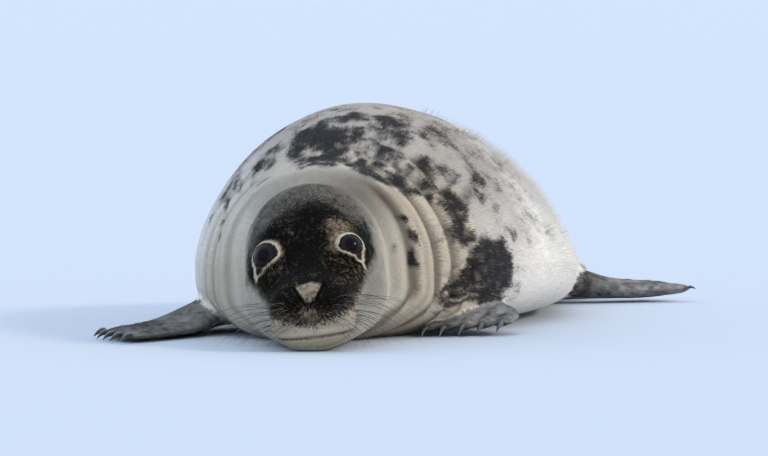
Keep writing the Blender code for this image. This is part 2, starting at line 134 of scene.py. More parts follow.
def along(points, s):
    """The value at s of a smooth curve through the points, which never swings past them."""
    x, y = np.array(points, float).T
    step, slope = np.diff(x), np.diff(y) / np.diff(x)
    tangent = np.zeros_like(x)
    same_way = slope[:-1] * slope[1:] > 0
    ahead, behind = 2 * step[1:] + step[:-1], step[1:] + 2 * step[:-1]
    with np.errstate(divide="ignore", invalid="ignore"):
        inner = (ahead + behind) / (ahead / slope[:-1] + behind / slope[1:])
    tangent[1:-1] = np.where(same_way, inner, 0.0)
    tangent[0], tangent[-1] = slope[0], slope[-1]
    s = np.clip(np.asarray(s, float), x[0], x[-1])
    i = np.clip(np.searchsorted(x, s, "right") - 1, 0, len(x) - 2)
    t = (s - x[i]) / step[i]
    return (
        (1 + 2 * t) * (1 - t) ** 2 * y[i]
        + t * (1 - t) ** 2 * step[i] * tangent[i]
        + t * t * (3 - 2 * t) * y[i + 1]
        + t * t * (t - 1) * step[i] * tangent[i + 1]
    )


def ease(low, high, s):
    """0 where s is below low, 1 where it is above high, and a smooth step between."""
    t = np.clip((np.asarray(s, float) - low) / (high - low), 0, 1)
    return t * t * (3 - 2 * t)


def fall(low, high, s):
    """1 where s is below low, 0 where it is above high, and a smooth step between."""
    return 1 - ease(low, high, s)


def hump(off, width):
    """A smooth hump: 1 where off is 0, and gone by about two widths away."""
    return np.exp(-((off / width) ** 2))


SPINE_STEP = 0.001
SPINE_S = np.arange(0.0, 1.2, SPINE_STEP)
SPINE_TURN = np.radians(along(HEADING, SPINE_S))
SPINE_X = np.cumsum(np.sin(SPINE_TURN)) * SPINE_STEP
SPINE_Y = np.cumsum(np.cos(SPINE_TURN)) * SPINE_STEP


def placed_by_nose(s, out, up):
    """A point given along, across and above the animal, in world axes from the tip of the nose."""
    s, out, up = np.broadcast_arrays(*(np.asarray(v, float) for v in (s, out, up)))
    roll = HEAD_ROLL * fall(*ROLL_FADES, s)
    height = up - ROLL_HEIGHT
    side = out * np.cos(roll) - height * np.sin(roll)
    up = ROLL_HEIGHT + height * np.cos(roll) + out * np.sin(roll)
    turn = np.interp(s, SPINE_S, SPINE_TURN)
    x = np.interp(s, SPINE_S, SPINE_X) + side * np.cos(turn)
    y = np.interp(s, SPINE_S, SPINE_Y) - side * np.sin(turn)
    y = y + np.minimum(s, 0)
    return np.stack([x, y, up], -1)


# The nose's place in the frame, read from the solid eye on the left.
low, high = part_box("eye_left")
NOSE_TIP = (np.array(low) + np.array(high)) / 2 - placed_by_nose(*EYE_PLACE)
NOSE_TIP[2] = 0.0


def placed(s, out, up):
    """A point given along, across and above the animal, in the frame."""
    return placed_by_nose(s, out, up) + NOSE_TIP


def noise(points, scale, seed=0):
    """Smooth noise from -1 to 1 over points, with features about 1/scale across."""
    grid = np.asarray(points, float) * scale + seed * 17.31
    base = np.floor(grid).astype(np.int64)
    t = grid - base
    t = t * t * (3 - 2 * t)
    total = np.zeros(grid.shape[:-1])
    for corner in range(8):
        step = np.array([corner & 1, corner >> 1 & 1, corner >> 2 & 1])
        cell = base + step
        key = cell[..., 0] * 73856093 ^ cell[..., 1] * 19349663 ^ cell[..., 2] * 83492791
        key = (key ^ int(seed) * 2654435761) & 0xFFFFFFFF
        key = (key ^ key >> 15) * 2246822519 & 0xFFFFFFFF
        key = (key ^ key >> 13) * 3266489917 & 0xFFFFFFFF
        value = ((key ^ key >> 16) & 0xFFFF) / 32767.5 - 1
        weight = np.prod(np.where(step == 1, t, 1 - t), axis=-1)
        total += value * weight
    return total


def rough(points, scale, seed=0, layers=3):
    """Noise with finer and fainter noise laid over it."""
    total, size = 0.0, 1.0
    for layer in range(layers):
        total = total + size * noise(points, scale * 2**layer, seed + layer)
        size *= 0.55
    return total / 1.6


def body_form(s, angle):
    """The body's outer form, as (s, out, up), at s along the spine and an angle from the back."""
    depth = sum(hump(s - at, CREASE_WIDTH) for at in NECK_CREASES)
    turned = np.abs(np.arctan2(np.sin(angle), np.cos(angle)))
    crease = CREASE_DEPTH * depth * (0.35 + 0.65 * ease(0.25, 1.3, turned))
    crease = crease * (0.40 + 0.60 * ease(-0.4, 0.6, np.sin(angle)))
    width, back = along(HALF_WIDTH, s) - crease, along(BACK_HEIGHT, s) - crease
    widest, under = along(WIDEST_HEIGHT, s), along(UNDERSIDE, s)
    nose = np.sqrt(np.clip(1 - np.clip(1 - s / NOSE_ROUND, 0, 1) ** 2, 0, 1))
    rump = np.sqrt(np.clip(1 - np.clip(1 - (BODY_LENGTH - s) / RUMP_ROUND, 0, 1) ** 2, 0, 1))
    middle = np.where(s < 0.5, NOSE_HEIGHT, RUMP_HEIGHT)
    size = np.minimum(nose, rump)
    across, upwards = np.sin(angle), np.cos(angle)
    above = widest + (back - widest) * np.abs(upwards) ** along(BACK_SQUARENESS, s)
    below = widest - (widest - under) * np.abs(upwards) ** along(BELLY_SQUARENESS, s)
    up = np.where(upwards > 0, above, below)
    up = middle + (up - middle) * size
    out = width * across * size + along(LEAN, s) * np.clip(upwards, 0, 1)
    for centre, radius, push in FACE_FORMS.values():
        for side in (1, -1) if centre[1] else (1,):
            far2 = (s - centre[0]) ** 2 + (out - side * centre[1]) ** 2 + (up - centre[2]) ** 2
            weight = np.exp(-far2 / (radius * radius))
            s = s + push[0] * weight
            out = out + side * push[1] * weight
            up = up + push[2] * weight
    return np.stack([s, out, up], -1)


def facing(form):
    """Unit normals, pointing out, of a closed grid of points given as rings."""
    forward = np.gradient(form, axis=0)
    wrapped = np.concatenate([form[:, -1:], form, form[:, :1]], axis=1)
    round_it = (wrapped[:, 2:] - wrapped[:, :-2]) / 2
    normal = np.cross(forward, round_it)
    length = np.linalg.norm(normal, axis=-1, keepdims=True)
    normal = normal / np.maximum(length, 1e-12)
    normal[0], normal[-1] = (-1, 0, 0), (1, 0, 0)
    return normal


# The eyes look forwards, a little out and up. The lids' edge is a soft almond that droops
# towards its outer lower corner. Each row is (degrees round the eye from its outer side, reach).
EYE_LOOKS = (-0.87, 0.38, 0.30)
LID_EDGE = (
    (-155, 0.0122), (-126, 0.0106), (-82, 0.0134), (-59, 0.0160), (-29, 0.0157), (12, 0.0152),
    (61, 0.0150), (94, 0.0148), (134, 0.0147), (176, 0.0148),
)
# How wide and how high the left and right eyes are open, as shares of the almond.
LID_OPEN = {1: (0.90, 0.78), -1: (1.00, 0.94)}
LID_THICKNESS = 0.0011
LID_REACH = 0.012  # how far beyond their edge the lids shape the skin
EYE_BACK = -0.012  # nothing further back than this belongs to the eye


def eye_axes(side):
    """Where an eye looks, and the outward and upward ways across its sight, as unit (s, out, up)."""
    look = np.array(EYE_LOOKS) * [1, side, 1]
    look = look / np.linalg.norm(look)
    upward = np.array([0.0, 0.0, 1.0]) - look * look[2]
    upward /= np.linalg.norm(upward)
    outward = np.array([0.0, side, 0.0])
    outward = outward - look * (outward @ look) - upward * (outward @ upward)
    return look, outward / np.linalg.norm(outward), upward


def seen_from_eye(form, side):
    """How far points lie along an eye's line of sight, outwards from it, and upwards."""
    offset = form - np.array(EYE_PLACE) * [1, side, 1]
    return [offset @ axis for axis in eye_axes(side)]


def lid_reach(turn, side):
    """How far the edge of the lids lies from the middle of the eye, smooth all the way round."""
    degrees = np.arange(-180, 180)
    table = np.interp(degrees, *np.array(LID_EDGE).T, period=360)
    window = np.hanning(41)
    table = np.convolve(np.tile(table, 3), window / window.sum(), "same")[360:720]
    reach = np.interp(np.degrees(turn), degrees, table, period=360)
    wide, high = LID_OPEN[side]
    return reach * np.hypot(np.cos(turn) * wide, np.sin(turn) * high)


def lidded(form):
    """The skin drawn round each eyeball to the edge of the lids, and tucked in behind it."""
    for side in (1, -1):
        height, p, q = seen_from_eye(form, side)
        wide = np.hypot(p, q)
        edge = lid_reach(np.arctan2(q, p), side)
        ball = np.sqrt(EYE_RADIUS**2 - np.minimum(wide, 0.96 * EYE_RADIUS) ** 2)
        tucked = fall(0.90, 1.02, wide / edge)
        near = fall(0, LID_REACH, wide - edge) * (height > 0) * (wide < 0.05)
        target = ball + LID_THICKNESS - 0.0036 * tucked
        form = form + (near * (target - height))[..., None] * eye_axes(side)[0]
    return form


def to_line(p, q, start, end):
    """Distance in a plane from points (p, q) to the straight line between two points."""
    start, end = np.array(start), np.array(end)
    step = end - start
    t = np.clip(((p - start[0]) * step[0] + (q - start[1]) * step[1]) / (step @ step), 0, 1)
    return np.hypot(p - start[0] - t * step[0], q - start[1] - t * step[1])


NOSTRIL = ((0.0158, 0.0690), (0.0078, 0.0560))  # (out, up) of the slit's outer and inner ends
PHILTRUM = ((0.0, 0.0510), (0.0, 0.0200))
MOUTH_LINE = ((0.000, 0.0136), (0.020, 0.0165), (0.045, 0.0225), (0.066, 0.0290), (0.075, 0.0325))
MOUTH_BACK = 0.068
EAR = (0.148, 0.1225)  # (s, up) of the small slit that is all the ear a seal shows
# Folds of loose skin in front of the left shoulder and behind it: (s, up) at each end.
SHOULDER_FOLDS = (
    ((0.380, 0.100), (0.285, 0.060)), ((0.392, 0.082), (0.284, 0.047)),
    ((0.400, 0.064), (0.292, 0.036)), ((0.404, 0.048), (0.304, 0.026)),
)
# The rounded fold that closes the pit behind the left fore flipper.
ARMPIT = (((0.425, 0.056), (0.460, 0.052)), ((0.460, 0.052), (0.466, 0.036)))


def groove(off, depth, width):
    """How deep a fold is at a distance from its middle line. A negative depth raises a ridge."""
    return depth * hump(off, width)


def detailed(form, normal):
    """Nostrils, mouth, ears and the small folds of the skin."""
    s, out, up = form[..., 0], form[..., 1], form[..., 2]
    front = fall(0.016, 0.030, s)
    slit = to_line(np.abs(out), up, *NOSTRIL)
    sink = groove(slit, 0.0046, 0.0013) * front
    sink += groove(slit - 0.0034, -0.0010, 0.0016) * front
    sink += groove(to_line(out, up, *PHILTRUM), 0.0013, 0.0011) * front
    lips = up - along(MOUTH_LINE, s)
    mouth = fall(MOUTH_BACK - 0.008, MOUTH_BACK, s)
    sink += groove(lips, 0.0030, 0.0013) * mouth
    sink += groove(lips - 0.0048, -0.0012, 0.0030) * mouth
    ear = np.hypot((s - EAR[0]) / 0.0028, (up - EAR[1]) / 0.0060)
    sink += groove(ear, 0.0036, 1.0) - groove(ear - 1.8, 0.0010, 0.7)
    # Fine rings of loose skin between the deep creases of the neck.
    neck = ease(0.185, 0.215, s) * fall(0.36, 0.44, s)
    low = ease(0.09, 0.02, up) + 0.35
    rings = np.stack([s, 0.16 * out, 0.16 * up], -1)
    sink += 0.0012 * neck * low * noise(rings, 95, 3)
    beside = np.clip(np.abs(out) / 0.10 + ease(0.10, 0.03, up), 0, 1.4)
    left = 0.25 + 0.75 * ease(-0.02, 0.05, out)
    for number, at in enumerate(NECK_CREASES):
        off = s - at + 0.004 * noise(rings, 40, number)
        sink += groove(off, 0.0021, 0.0060) * beside * left
    for start, end in SHOULDER_FOLDS:
        sink += groove(to_line(s, up, start, end), 0.0046, 0.0042) * (out > 0.05)
    for start, end in ARMPIT:
        sink += groove(to_line(s, up, start, end), -0.0022, 0.0050) * (out > 0.05)
    # Low, wide unevenness of the blubber.
    sink += 0.0014 * noise(form, 11, 5) * ease(0.25, 0.45, s)
    return form - normal * sink[..., None]


# Rings of the skin along the spine: closest on the nose and face, widest apart on the trunk.
SKIN_S = np.array([
    *(NOSE_ROUND * (1 - math.cos(math.radians(90) * i / 38)) for i in range(39)),
    *np.arange(NOSE_ROUND + 0.0013, 0.128, 0.00125),
    *np.arange(0.1292, 0.355, 0.0020),
    *np.arange(0.3580, 1.032, 0.0055),
    *(BODY_LENGTH - RUMP_ROUND * (1 - math.sin(math.pi / 2 * i / 14)) for i in range(15)),
])
SKIN_SIDES = 200


def skin_angles(s):
    """Angles round the body, closer together over the eyes on the rings of the face."""
    even = np.arange(SKIN_SIDES) * 2 * math.pi / SKIN_SIDES
    pull = 0.26 * fall(0.11, 0.17, s) * ease(0.02, 0.06, s)
    folded = np.abs((even + math.pi) % (2 * math.pi) - math.pi)
    return even + np.sign(np.sin(even)) * pull * np.sin(2 * (folded - 0.75)) * np.sin(folded)


def body_skin():
    """World points, and their s and angle, as rings from the nose to the rump."""
    angles = np.stack([skin_angles(s) for s in SKIN_S])
    s = np.repeat(SKIN_S[:, None], SKIN_SIDES, 1)
    form = body_form(s, angles)
    normal = facing(form)
    form = form - normal * along(COAT_DEPTH, s)[..., None]
    form = detailed(lidded(form), normal)
    points = placed(form[..., 0], form[..., 1], form[..., 2])
    points[..., 2] = np.maximum(points[..., 2], SKIN_CLEARANCE)
    return points, s, angles


def grid_faces(rings, sides):
    """Four-sided faces of rings of points, with a single point at the first and the last ring."""
    faces = [(0, 1 + (k + 1) % sides, 1 + k) for k in range(sides)]
    for i in range(rings - 3):
        a, b = 1 + i * sides, 1 + (i + 1) * sides
        for k in range(sides):
            n = (k + 1) % sides
            faces.append((a + k, a + n, b + n, b + k))
    a, last = 1 + (rings - 3) * sides, 1 + (rings - 2) * sides
    faces += [(a + k, a + (k + 1) % sides, last) for k in range(sides)]
    return faces


def mesh_object(name, vertices, faces):
    """A smooth-shaded object, linked to the scene."""
    mesh = bpy.data.meshes.new(name)
    mesh.from_pydata(np.asarray(vertices, float).tolist(), [], faces)
    mesh.update()
    mesh.shade_smooth()
    made = bpy.data.objects.new(name, mesh)
    bpy.context.scene.collection.objects.link(made)
    return made


def closed_rings(grid):
    """Rings as one list of points: the first and last rings shrink to a single point each."""
    return np.concatenate([grid[0].mean(0)[None], *grid[1:-1], grid[-1].mean(0)[None]])


# --- The flippers and the tail --------------------------------------------------------------------
# Webbed paddles of five digits under very short hair, the fore ones on bent wrists and the hind
# ones trailing. They and the stub of a tail are joined into the one skin, and eased where they
# leave the body.

DIGITS = 5
DIGIT_STEP = 0.4  # from one digit to the next, as shares of half the width
SKIN_SINK = 0.0010  # how far the flippers' skin lies under the tips of their short coat


def digit_ridge(across):
    """1 along each digit of a flipper and 0 in the webs between them."""
    return 0.5 + 0.5 * np.cos(2 * math.pi * (across + 0.8) / DIGIT_STEP)


class Flipper:
    """A webbed paddle that follows a path from inside the body out to the tips of its digits."""

    def __init__(self, path, leading, half_widths, thicknesses, reach, scallop, spread):
        self.path = np.array(path, float)
        self.leading = np.array(leading, float)
        self.half_widths, self.thicknesses = half_widths, thicknesses
        self.reach, self.scallop, self.spread = reach, scallop, spread
        steps = np.linalg.norm(np.diff(self.path, axis=0), axis=1)
        self.length = steps.sum()
        self.marks = np.concatenate([[0], np.cumsum(steps)]) / self.length

    def line(self, rows, a):
        """A smooth curve through rows of three numbers, at a share of the flipper's length."""
        columns = [along(list(zip(self.marks, rows[:, k])), a) for k in range(rows.shape[1])]
        return np.stack(columns, -1)

    def frame(self, a):
        """Unit ways forwards, towards the leading edge and up, at a share of the length."""
        forward = self.line(self.path, a + 0.01) - self.line(self.path, a - 0.01)
        forward /= np.linalg.norm(forward, axis=-1, keepdims=True)
        edge = self.line(self.leading, a)
        edge -= (edge * forward).sum(-1, keepdims=True) * forward
        edge /= np.linalg.norm(edge, axis=-1, keepdims=True)
        up = np.cross(edge, forward)
        return forward, edge, up * np.where(up[..., 2:] < 0, -1, 1)

    def point(self, a, across, side, sink=0.0):
        """A point on the upper (1) or lower (-1) side, a out of 1 along and -1 to 1 across."""
        a, across = np.broadcast_arrays(np.asarray(a, float), np.asarray(across, float))
        distal = ease(0.45, 1.0, a)
        ridge = digit_ridge(across)
        longest = along(self.reach, across)
        out_to = a - distal * (1 - longest) - distal * self.scallop * (1 - ridge)
        out_to = np.clip(out_to - a * sink / self.length, 0, 0.989)
        edge, up = self.frame(out_to)[1:]
        width = along(self.half_widths, a) - sink
        thick = along(self.thicknesses, a) * (1 - 0.45 * distal * (1 - ridge))
        # Knuckles, and the fine creases where the webs fold.
        knuckle = hump(a - 0.74, 0.03) + hump(a - 0.88, 0.025)
        thick = thick + 0.0016 * knuckle * ridge * (side > 0)
        thick = thick - 2 * sink - 0.0010 * (1 - ridge) * np.sin(38 * a + 5 * across) ** 2 * distal
        rim = np.sqrt(np.clip(1 - np.abs(across) ** 3, 0, 1))
        tip = np.sqrt(np.clip(1 - np.clip((a - 0.90) / 0.10, 0, 1) ** 2, 0.04, 1))
        fan = self.spread * across * np.clip(a - 0.5, 0, 1)
        point = self.line(self.path, out_to) + edge * (width * across + fan)[..., None]
        return point + up * (side * 0.5 * thick * rim * tip)[..., None]

    def claw_places(self):
        """The tip of each digit, and the way it points."""
        for k in range(DIGITS):
            across = -0.8 + DIGIT_STEP * k
            tip = (self.point(1.0, across, 1) + self.point(1.0, across, -1)) / 2
            before = (self.point(0.85, across, 1) + self.point(0.85, across, -1)) / 2
            yield tip, (tip - before) / np.linalg.norm(tip - before)


def flipper_forms():
    """The four flippers by name. Paths and edges are from the tip of the nose."""
    forms = {}
    fore = {
        "half_widths": ((0.0, 0.040), (0.35, 0.038), (0.7, 0.040), (1.0, 0.038)),
        "thicknesses": ((0.0, 0.050), (0.35, 0.032), (0.65, 0.020), (0.85, 0.015), (1.0, 0.011)),
        "reach": ((-1.0, 0.80), (-0.4, 0.89), (0.4, 0.97), (0.8, 1.0), (1.0, 0.97)),
        "scallop": 0.035,
    }
    nose = placed_by_nose
    forms["fore_right"] = Flipper(
        path=[
            nose(0.430, -0.085, 0.040), nose(0.395, -0.132, 0.026),
            (-0.160, 0.288, 0.010), (-0.197, 0.228, 0.008), (-0.228, 0.178, 0.007),
        ],
        leading=[(0.6, -0.8, 0.3), (0.7, -0.7, 0.2), (0.84, -0.54, 0.05), (0.84, -0.54, 0.0),
                 (0.84, -0.54, 0.0)],
        spread=0.012, **fore,
    )
    forms["fore_left"] = Flipper(
        path=[
            nose(0.470, 0.080, 0.038), nose(0.435, 0.120, 0.030),
            (0.184, 0.348, 0.021), (0.171, 0.308, 0.014), (0.160, 0.266, 0.008),
        ],
        leading=[(-0.6, -0.4, 0.3), (-0.8, -0.3, 0.1), (-1, 0.1, 0.0), (-1, 0.2, 0.0),
                 (-1, 0.25, 0.0)],
        spread=0.020, **fore,
    )
    hind = {
        "half_widths": ((0.0, 0.028), (0.3, 0.028), (0.6, 0.031), (1.0, 0.036)),
        "thicknesses": ((0.0, 0.050), (0.3, 0.040), (0.55, 0.028), (0.8, 0.023), (1.0, 0.018)),
        "reach": ((-1.0, 0.98), (-0.8, 1.0), (0.0, 0.90), (0.8, 1.0), (1.0, 0.98)),
        "scallop": 0.045, "spread": 0.0,
    }
    for name, side, heading, rise in (
        ("hind_left", 1, 66.0, 0.0165), ("hind_right", -1, 46.0, 0.0130),
    ):
        turn = math.radians(heading)
        onward = np.array([math.sin(turn), math.cos(turn), 0.0])
        edge = np.array([math.cos(turn), -math.sin(turn), 0.0]) * side
        ankle = nose(1.040, side * 0.038, 0.027)
        forms[name] = Flipper(
            path=[
                nose(0.965, side * 0.036, 0.038), ankle,
                ankle * [1, 1, 0] + onward * 0.050 + [0, 0, 0.018],
                ankle * [1, 1, 0] + onward * 0.100 + [0, 0, rise - 0.001],
                ankle * [1, 1, 0] + onward * 0.150 + [0, 0, rise],
            ],
            leading=[edge] * 5, **hind,
        )
    return forms


FLIPPER_ROWS = 46
FLIPPER_COLUMNS = 33


def flipper_skin(form, floor_gap):
    """Rings of points along a flipper, its faces, and (a, across) for every point."""
    a = 1 - (1 - np.linspace(0, 1, FLIPPER_ROWS)) ** 1.35
    across = np.sin(np.linspace(-1, 1, FLIPPER_COLUMNS) * math.pi / 2 * 0.97)
    across = across / across[-1]
    n = FLIPPER_COLUMNS
    ring_across = np.concatenate([across, across[1:-1][::-1]])
    side = np.concatenate([np.ones(n), -np.ones(n - 2)])
    count = len(ring_across)
    grid_a = np.repeat(a[:, None], count, 1)
    grid_across = np.repeat(ring_across[None], FLIPPER_ROWS, 0)
    grid = form.point(grid_a, grid_across, side[None], SKIN_SINK) + NOSE_TIP
    grid[..., 2] = np.maximum(grid[..., 2], floor_gap)
    faces = []
    for i in range(FLIPPER_ROWS - 1):
        for k in range(count):
            m = (k + 1) % count
            faces.append((i * count + k, i * count + m, (i + 1) * count + m, (i + 1) * count + k))
    for row, turned in ((0, True), (FLIPPER_ROWS - 1, False)):
        first = row * count
        for k in range(n - 1):
            face = (first + k, first + k + 1, first + count - k - 1, first + (count - k) % count)
            face = tuple(dict.fromkeys(face))
            faces.append(face[::-1] if turned else face)
    return grid.reshape(-1, 3), faces, grid_a.reshape(-1), grid_across.reshape(-1)


TAIL_ROOT = 1.045
TAIL_LENGTH = 0.062
TAIL_HALF_WIDTH = 0.018
TAIL_HALF_HEIGHT = 0.011
TAIL_COAT = 0.0015  # how far the tail's skin lies under the solid tail


def tail_skin():
    """The stub of a tail, a flat cone with a round end, with s and 0 for every point."""
    sides, rows = 28, 16
    share = np.sin(np.linspace(0, 1, rows) * math.pi / 2)[:, None]
    turn = (np.arange(sides) * 2 * math.pi / sides)[None]
    size = np.sqrt(np.clip(1 - share**2.2, 0, 1))
    wide, thick = (TAIL_HALF_WIDTH - TAIL_COAT) * size, (TAIL_HALF_HEIGHT - TAIL_COAT) * size
    s = TAIL_ROOT - 0.004 + (TAIL_LENGTH - 0.001) * share + 0 * turn
    rings = placed(s, wide * np.sin(turn), 0.052 - 0.012 * share + thick * np.cos(turn))
    vertices = np.concatenate([rings[:-1].reshape(-1, 3), rings[-1].mean(0)[None]])
    faces = [
        (i * sides + k, i * sides + (k + 1) % sides, (i + 1) * sides + (k + 1) % sides,
         (i + 1) * sides + k)
        for i in range(rows - 2) for k in range(sides)
    ]
    last = (rows - 2) * sides
    faces += [(last + k, last + (k + 1) % sides, (rows - 1) * sides) for k in range(sides)]
    faces.append(tuple(reversed(range(sides))))
    return vertices, faces, s.reshape(-1)[: len(vertices)], np.zeros(len(vertices))


def fix_facing(part):
    """Turns every face of a closed part outwards."""
    work = bmesh.new()
    work.from_mesh(part.data)
    bmesh.ops.recalc_face_normals(work, faces=work.faces[:])
    work.to_mesh(part.data)
    work.free()


# The body's skin, and what each of its points belongs to, kept while the flippers are joined on:
# region 0 is the body, 1 to 4 the flippers and 5 the tail.
points, s_grid, angle_grid = body_skin()
skin = mesh_object("skin", closed_rings(points), grid_faces(len(points), SKIN_SIDES))
FORMS = flipper_forms()
cloud = [closed_rings(points)]
place = [np.stack([
    closed_rings(s_grid[..., None])[:, 0], closed_rings(angle_grid[..., None])[:, 0],
    np.zeros(len(cloud[0])),
], -1)]
limbs = [
    (name, flipper_skin(form, SKIN_CLEARANCE + 0.0002 * number))
    for number, (name, form) in enumerate(FORMS.items(), 1)
]
limbs.append(("tail", tail_skin()))
joined = []
for number, (name, (vertices, faces, a, across)) in enumerate(limbs, 1):
    limb = mesh_object("limb_" + name, vertices, faces)
    fix_facing(limb)
    joined.append(limb)
    cloud.append(vertices)
    place.append(np.stack([a, across, np.full(len(a), number)], -1))
    union = skin.modifiers.new(limb.name, "BOOLEAN")
    union.operation = "UNION"
    union.object = limb
cloud, place = np.concatenate(cloud), np.concatenate(place)
graph = bpy.context.evaluated_depsgraph_get()
mesh = bpy.data.meshes.new_from_object(skin.evaluated_get(graph))
skin.modifiers.clear()
skin.data = mesh
for limb in joined:
    bpy.data.objects.remove(limb)


def vertex_array(mesh, name="position", size=3):
    """An attribute of a mesh's points: rows of three numbers, or one whole number each."""
    values = np.empty(len(mesh.vertices) * size, np.float32)
    mesh.attributes[name].data.foreach_get("vector" if size == 3 else "value", values)
    return values.reshape(-1, size).astype(float) if size > 1 else np.round(values)


def finder(points):
    """A search for the nearest of some points."""
    tree = kdtree.KDTree(len(points))
    for i, v in enumerate(points):
        tree.insert(v, i)
    tree.balance()
    return tree.find


where = vertex_array(mesh)
find = finder(cloud)
place = place[[find(v)[1] for v in where]]
region = place[:, 2].astype(int)

# The joins between body and flippers are eased into soft hollows.
edges = np.empty(len(mesh.edges) * 2, np.int32)
mesh.edges.foreach_get("vertices", edges)
edges = edges.reshape(-1, 2)
crossing = edges[region[edges[:, 0]] != region[edges[:, 1]]].reshape(-1)
find = finder(where[crossing])
close = np.array([find(v)[2] for v in where])
soften = fall(0.004, 0.018, close) * 0.7
degree = np.bincount(edges.reshape(-1), minlength=len(where))
for _ in range(30):
    mean = np.zeros_like(where)
    for axis in range(3):
        ends = np.concatenate([where[edges[:, 1], axis], where[edges[:, 0], axis]])
        index = np.concatenate([edges[:, 0], edges[:, 1]])
        mean[:, axis] = np.bincount(index, ends, len(where)) / np.maximum(degree, 1)
    where += (mean - where) * soften[:, None]
where[:, 2] = np.maximum(where[:, 2], SKIN_CLEARANCE)
mesh.vertices.foreach_set("co", where.astype(np.float32).reshape(-1))
mesh.update()
mesh.shade_smooth()

# Where each point of the skin lies: body_map is (s, cosine, sine) of its angle from the back, or
# (a, across, side) on a flipper, and body_form the same place as (s, out, up).
angle_there = place[:, 1]
on_body = (region == 0) | (region == 5)
body_map = np.where(
    on_body[:, None],
    np.stack([place[:, 0], np.cos(angle_there), np.sin(angle_there)], -1),
    np.stack([place[:, 0], place[:, 1], np.ones(len(place))], -1),
)


def unplaced(points, s):
    """(s, out, up) of world points whose s is known: placed() turned round."""
    turn = np.interp(s, SPINE_S, SPINE_TURN)
    x = points[:, 0] - NOSE_TIP[0] - np.interp(s, SPINE_S, SPINE_X)
    y = points[:, 1] - NOSE_TIP[1] - np.interp(s, SPINE_S, SPINE_Y)
    side = x * np.cos(turn) - y * np.sin(turn)
    ahead = x * np.sin(turn) + y * np.cos(turn)
    roll = HEAD_ROLL * fall(*ROLL_FADES, s)
    height = points[:, 2] - ROLL_HEIGHT
    out = side * np.cos(roll) + height * np.sin(roll)
    up = ROLL_HEIGHT + height * np.cos(roll) - side * np.sin(roll)
    return np.stack([s + ahead, out, up], -1)


place_form = unplaced(where, np.where(on_body, place[:, 0], 0.5))


# --- The markings ---------------------------------------------------------------------------------
# The colours of the hair and of the bare nose: a pale, mottled back with a dark saddle and
# shoulder, a black mask flecked with tan, and cream rings of hair round the eyes. Shade is painted
# into the neck's creases, over the roll behind the crown, into the ear, the nostrils and the mouth,
# and under the nose, and light onto the nose's top.

NOSE_PAD = ((0.004, 0.0, 0.0630), 0.0150, 0.0105)  # middle, half width, half height


def nose_pad(form):
    """1 on the bare skin round the nostrils, 0 on the coat."""
    centre, wide, high = NOSE_PAD
    up = form[:, 2] - centre[2]
    width = wide * (1 + 0.35 * np.clip(up / high, -1, 1))
    reach = np.hypot(form[:, 1] / width, up / high)
    ragged = reach + 0.16 * rough(form, 200, 63)
    return fall(0.78, 1.06, ragged) * (form[:, 0] < 0.035)


def round_eye(form, side):
    """How far points lie outside the lids' edge of one eye, and the direction round it."""
    height, p, q = seen_from_eye(form, side)
    turn = np.arctan2(q, p)
    beyond = np.hypot(p, q) - lid_reach(turn, side)
    return np.where(height > EYE_BACK, beyond, 1.0), turn, p, q


# Dark patches of the coat: (s, degrees from the back, half length, half width in degrees, depth).
SADDLE = (
    (0.300, -28, 0.018, 5, 0.50), (0.268, 0, 0.012, 20, 0.72), (0.252, -34, 0.009, 10, 0.50),
    (0.262, 30, 0.010, 12, 0.66), (0.380, 24, 0.030, 6, 0.55), (0.360, 36, 0.020, 4, 0.50),
    (0.325, -2, 0.036, 9, 0.92), (0.345, -9, 0.032, 7, 0.84), (0.298, 4, 0.022, 6, 0.78),
    (0.318, -16, 0.040, 6, 0.66), (0.278, -14, 0.020, 6, 0.62), (0.362, -14, 0.022, 4, 0.60),
    (0.248, 6, 0.010, 9, 0.62), (0.260, 14, 0.009, 4, 0.90), (0.276, 18, 0.013, 3, 0.86),
    (0.348, 10, 0.030, 3, 0.84), (0.328, 26, 0.028, 7, 0.60), (0.402, 2, 0.022, 9, 0.64),
    (0.424, 15, 0.022, 8, 0.58),
)
SPOTS = (
    (0.253, 26, 0.012, 5, 0.95), (0.251, 36, 0.011, 6, 0.95), (0.295, 47, 0.010, 3, 0.98),
    (0.330, 47, 0.017, 4, 0.56), (0.325, 37, 0.011, 3, 0.62), (0.282, 34, 0.013, 4, 0.60),
    (0.293, 28, 0.011, 3, 0.62), (0.311, 53, 0.013, 4, 0.60), (0.350, 50, 0.017, 4, 0.50),
    (0.225, 64, 0.007, 3, 0.55), (0.233, 74, 0.009, 4, 0.98), (0.226, 86, 0.008, 5, 0.92),
    (0.204, 80, 0.006, 4, 0.50), (0.315, -47, 0.038, 3, 0.58), (0.315, -33, 0.018, 5, 0.42),
    (0.348, -26, 0.022, 5, 0.50), (0.450, 50, 0.020, 4, 0.46), (0.512, 54, 0.030, 3, 0.46),
    (0.468, 73, 0.014, 4, 0.44), (0.430, 57, 0.018, 4, 0.48), (0.290, -65, 0.014, 3, 0.55),
    (0.355, -65, 0.011, 3, 0.55), (0.262, -72, 0.009, 4, 0.42), (0.410, -55, 0.014, 3, 0.44),
)
SHOULDER = (
    (0.345, 93, 0.042, 6, 0.98), (0.312, 98, 0.034, 5, 0.84), (0.392, 80, 0.044, 10, 1.20),
    (0.378, 91, 0.054, 12, 1.25), (0.416, 88, 0.030, 10, 1.10), (0.340, 62, 0.028, 9, 0.60),
    (0.346, 72, 0.030, 6, 0.74), (0.325, 101, 0.054, 7, 1.10), (0.374, 100, 0.028, 7, 0.98),
    (0.398, 103, 0.028, 8, 0.80), (0.300, 112, 0.034, 5, 0.56),
)
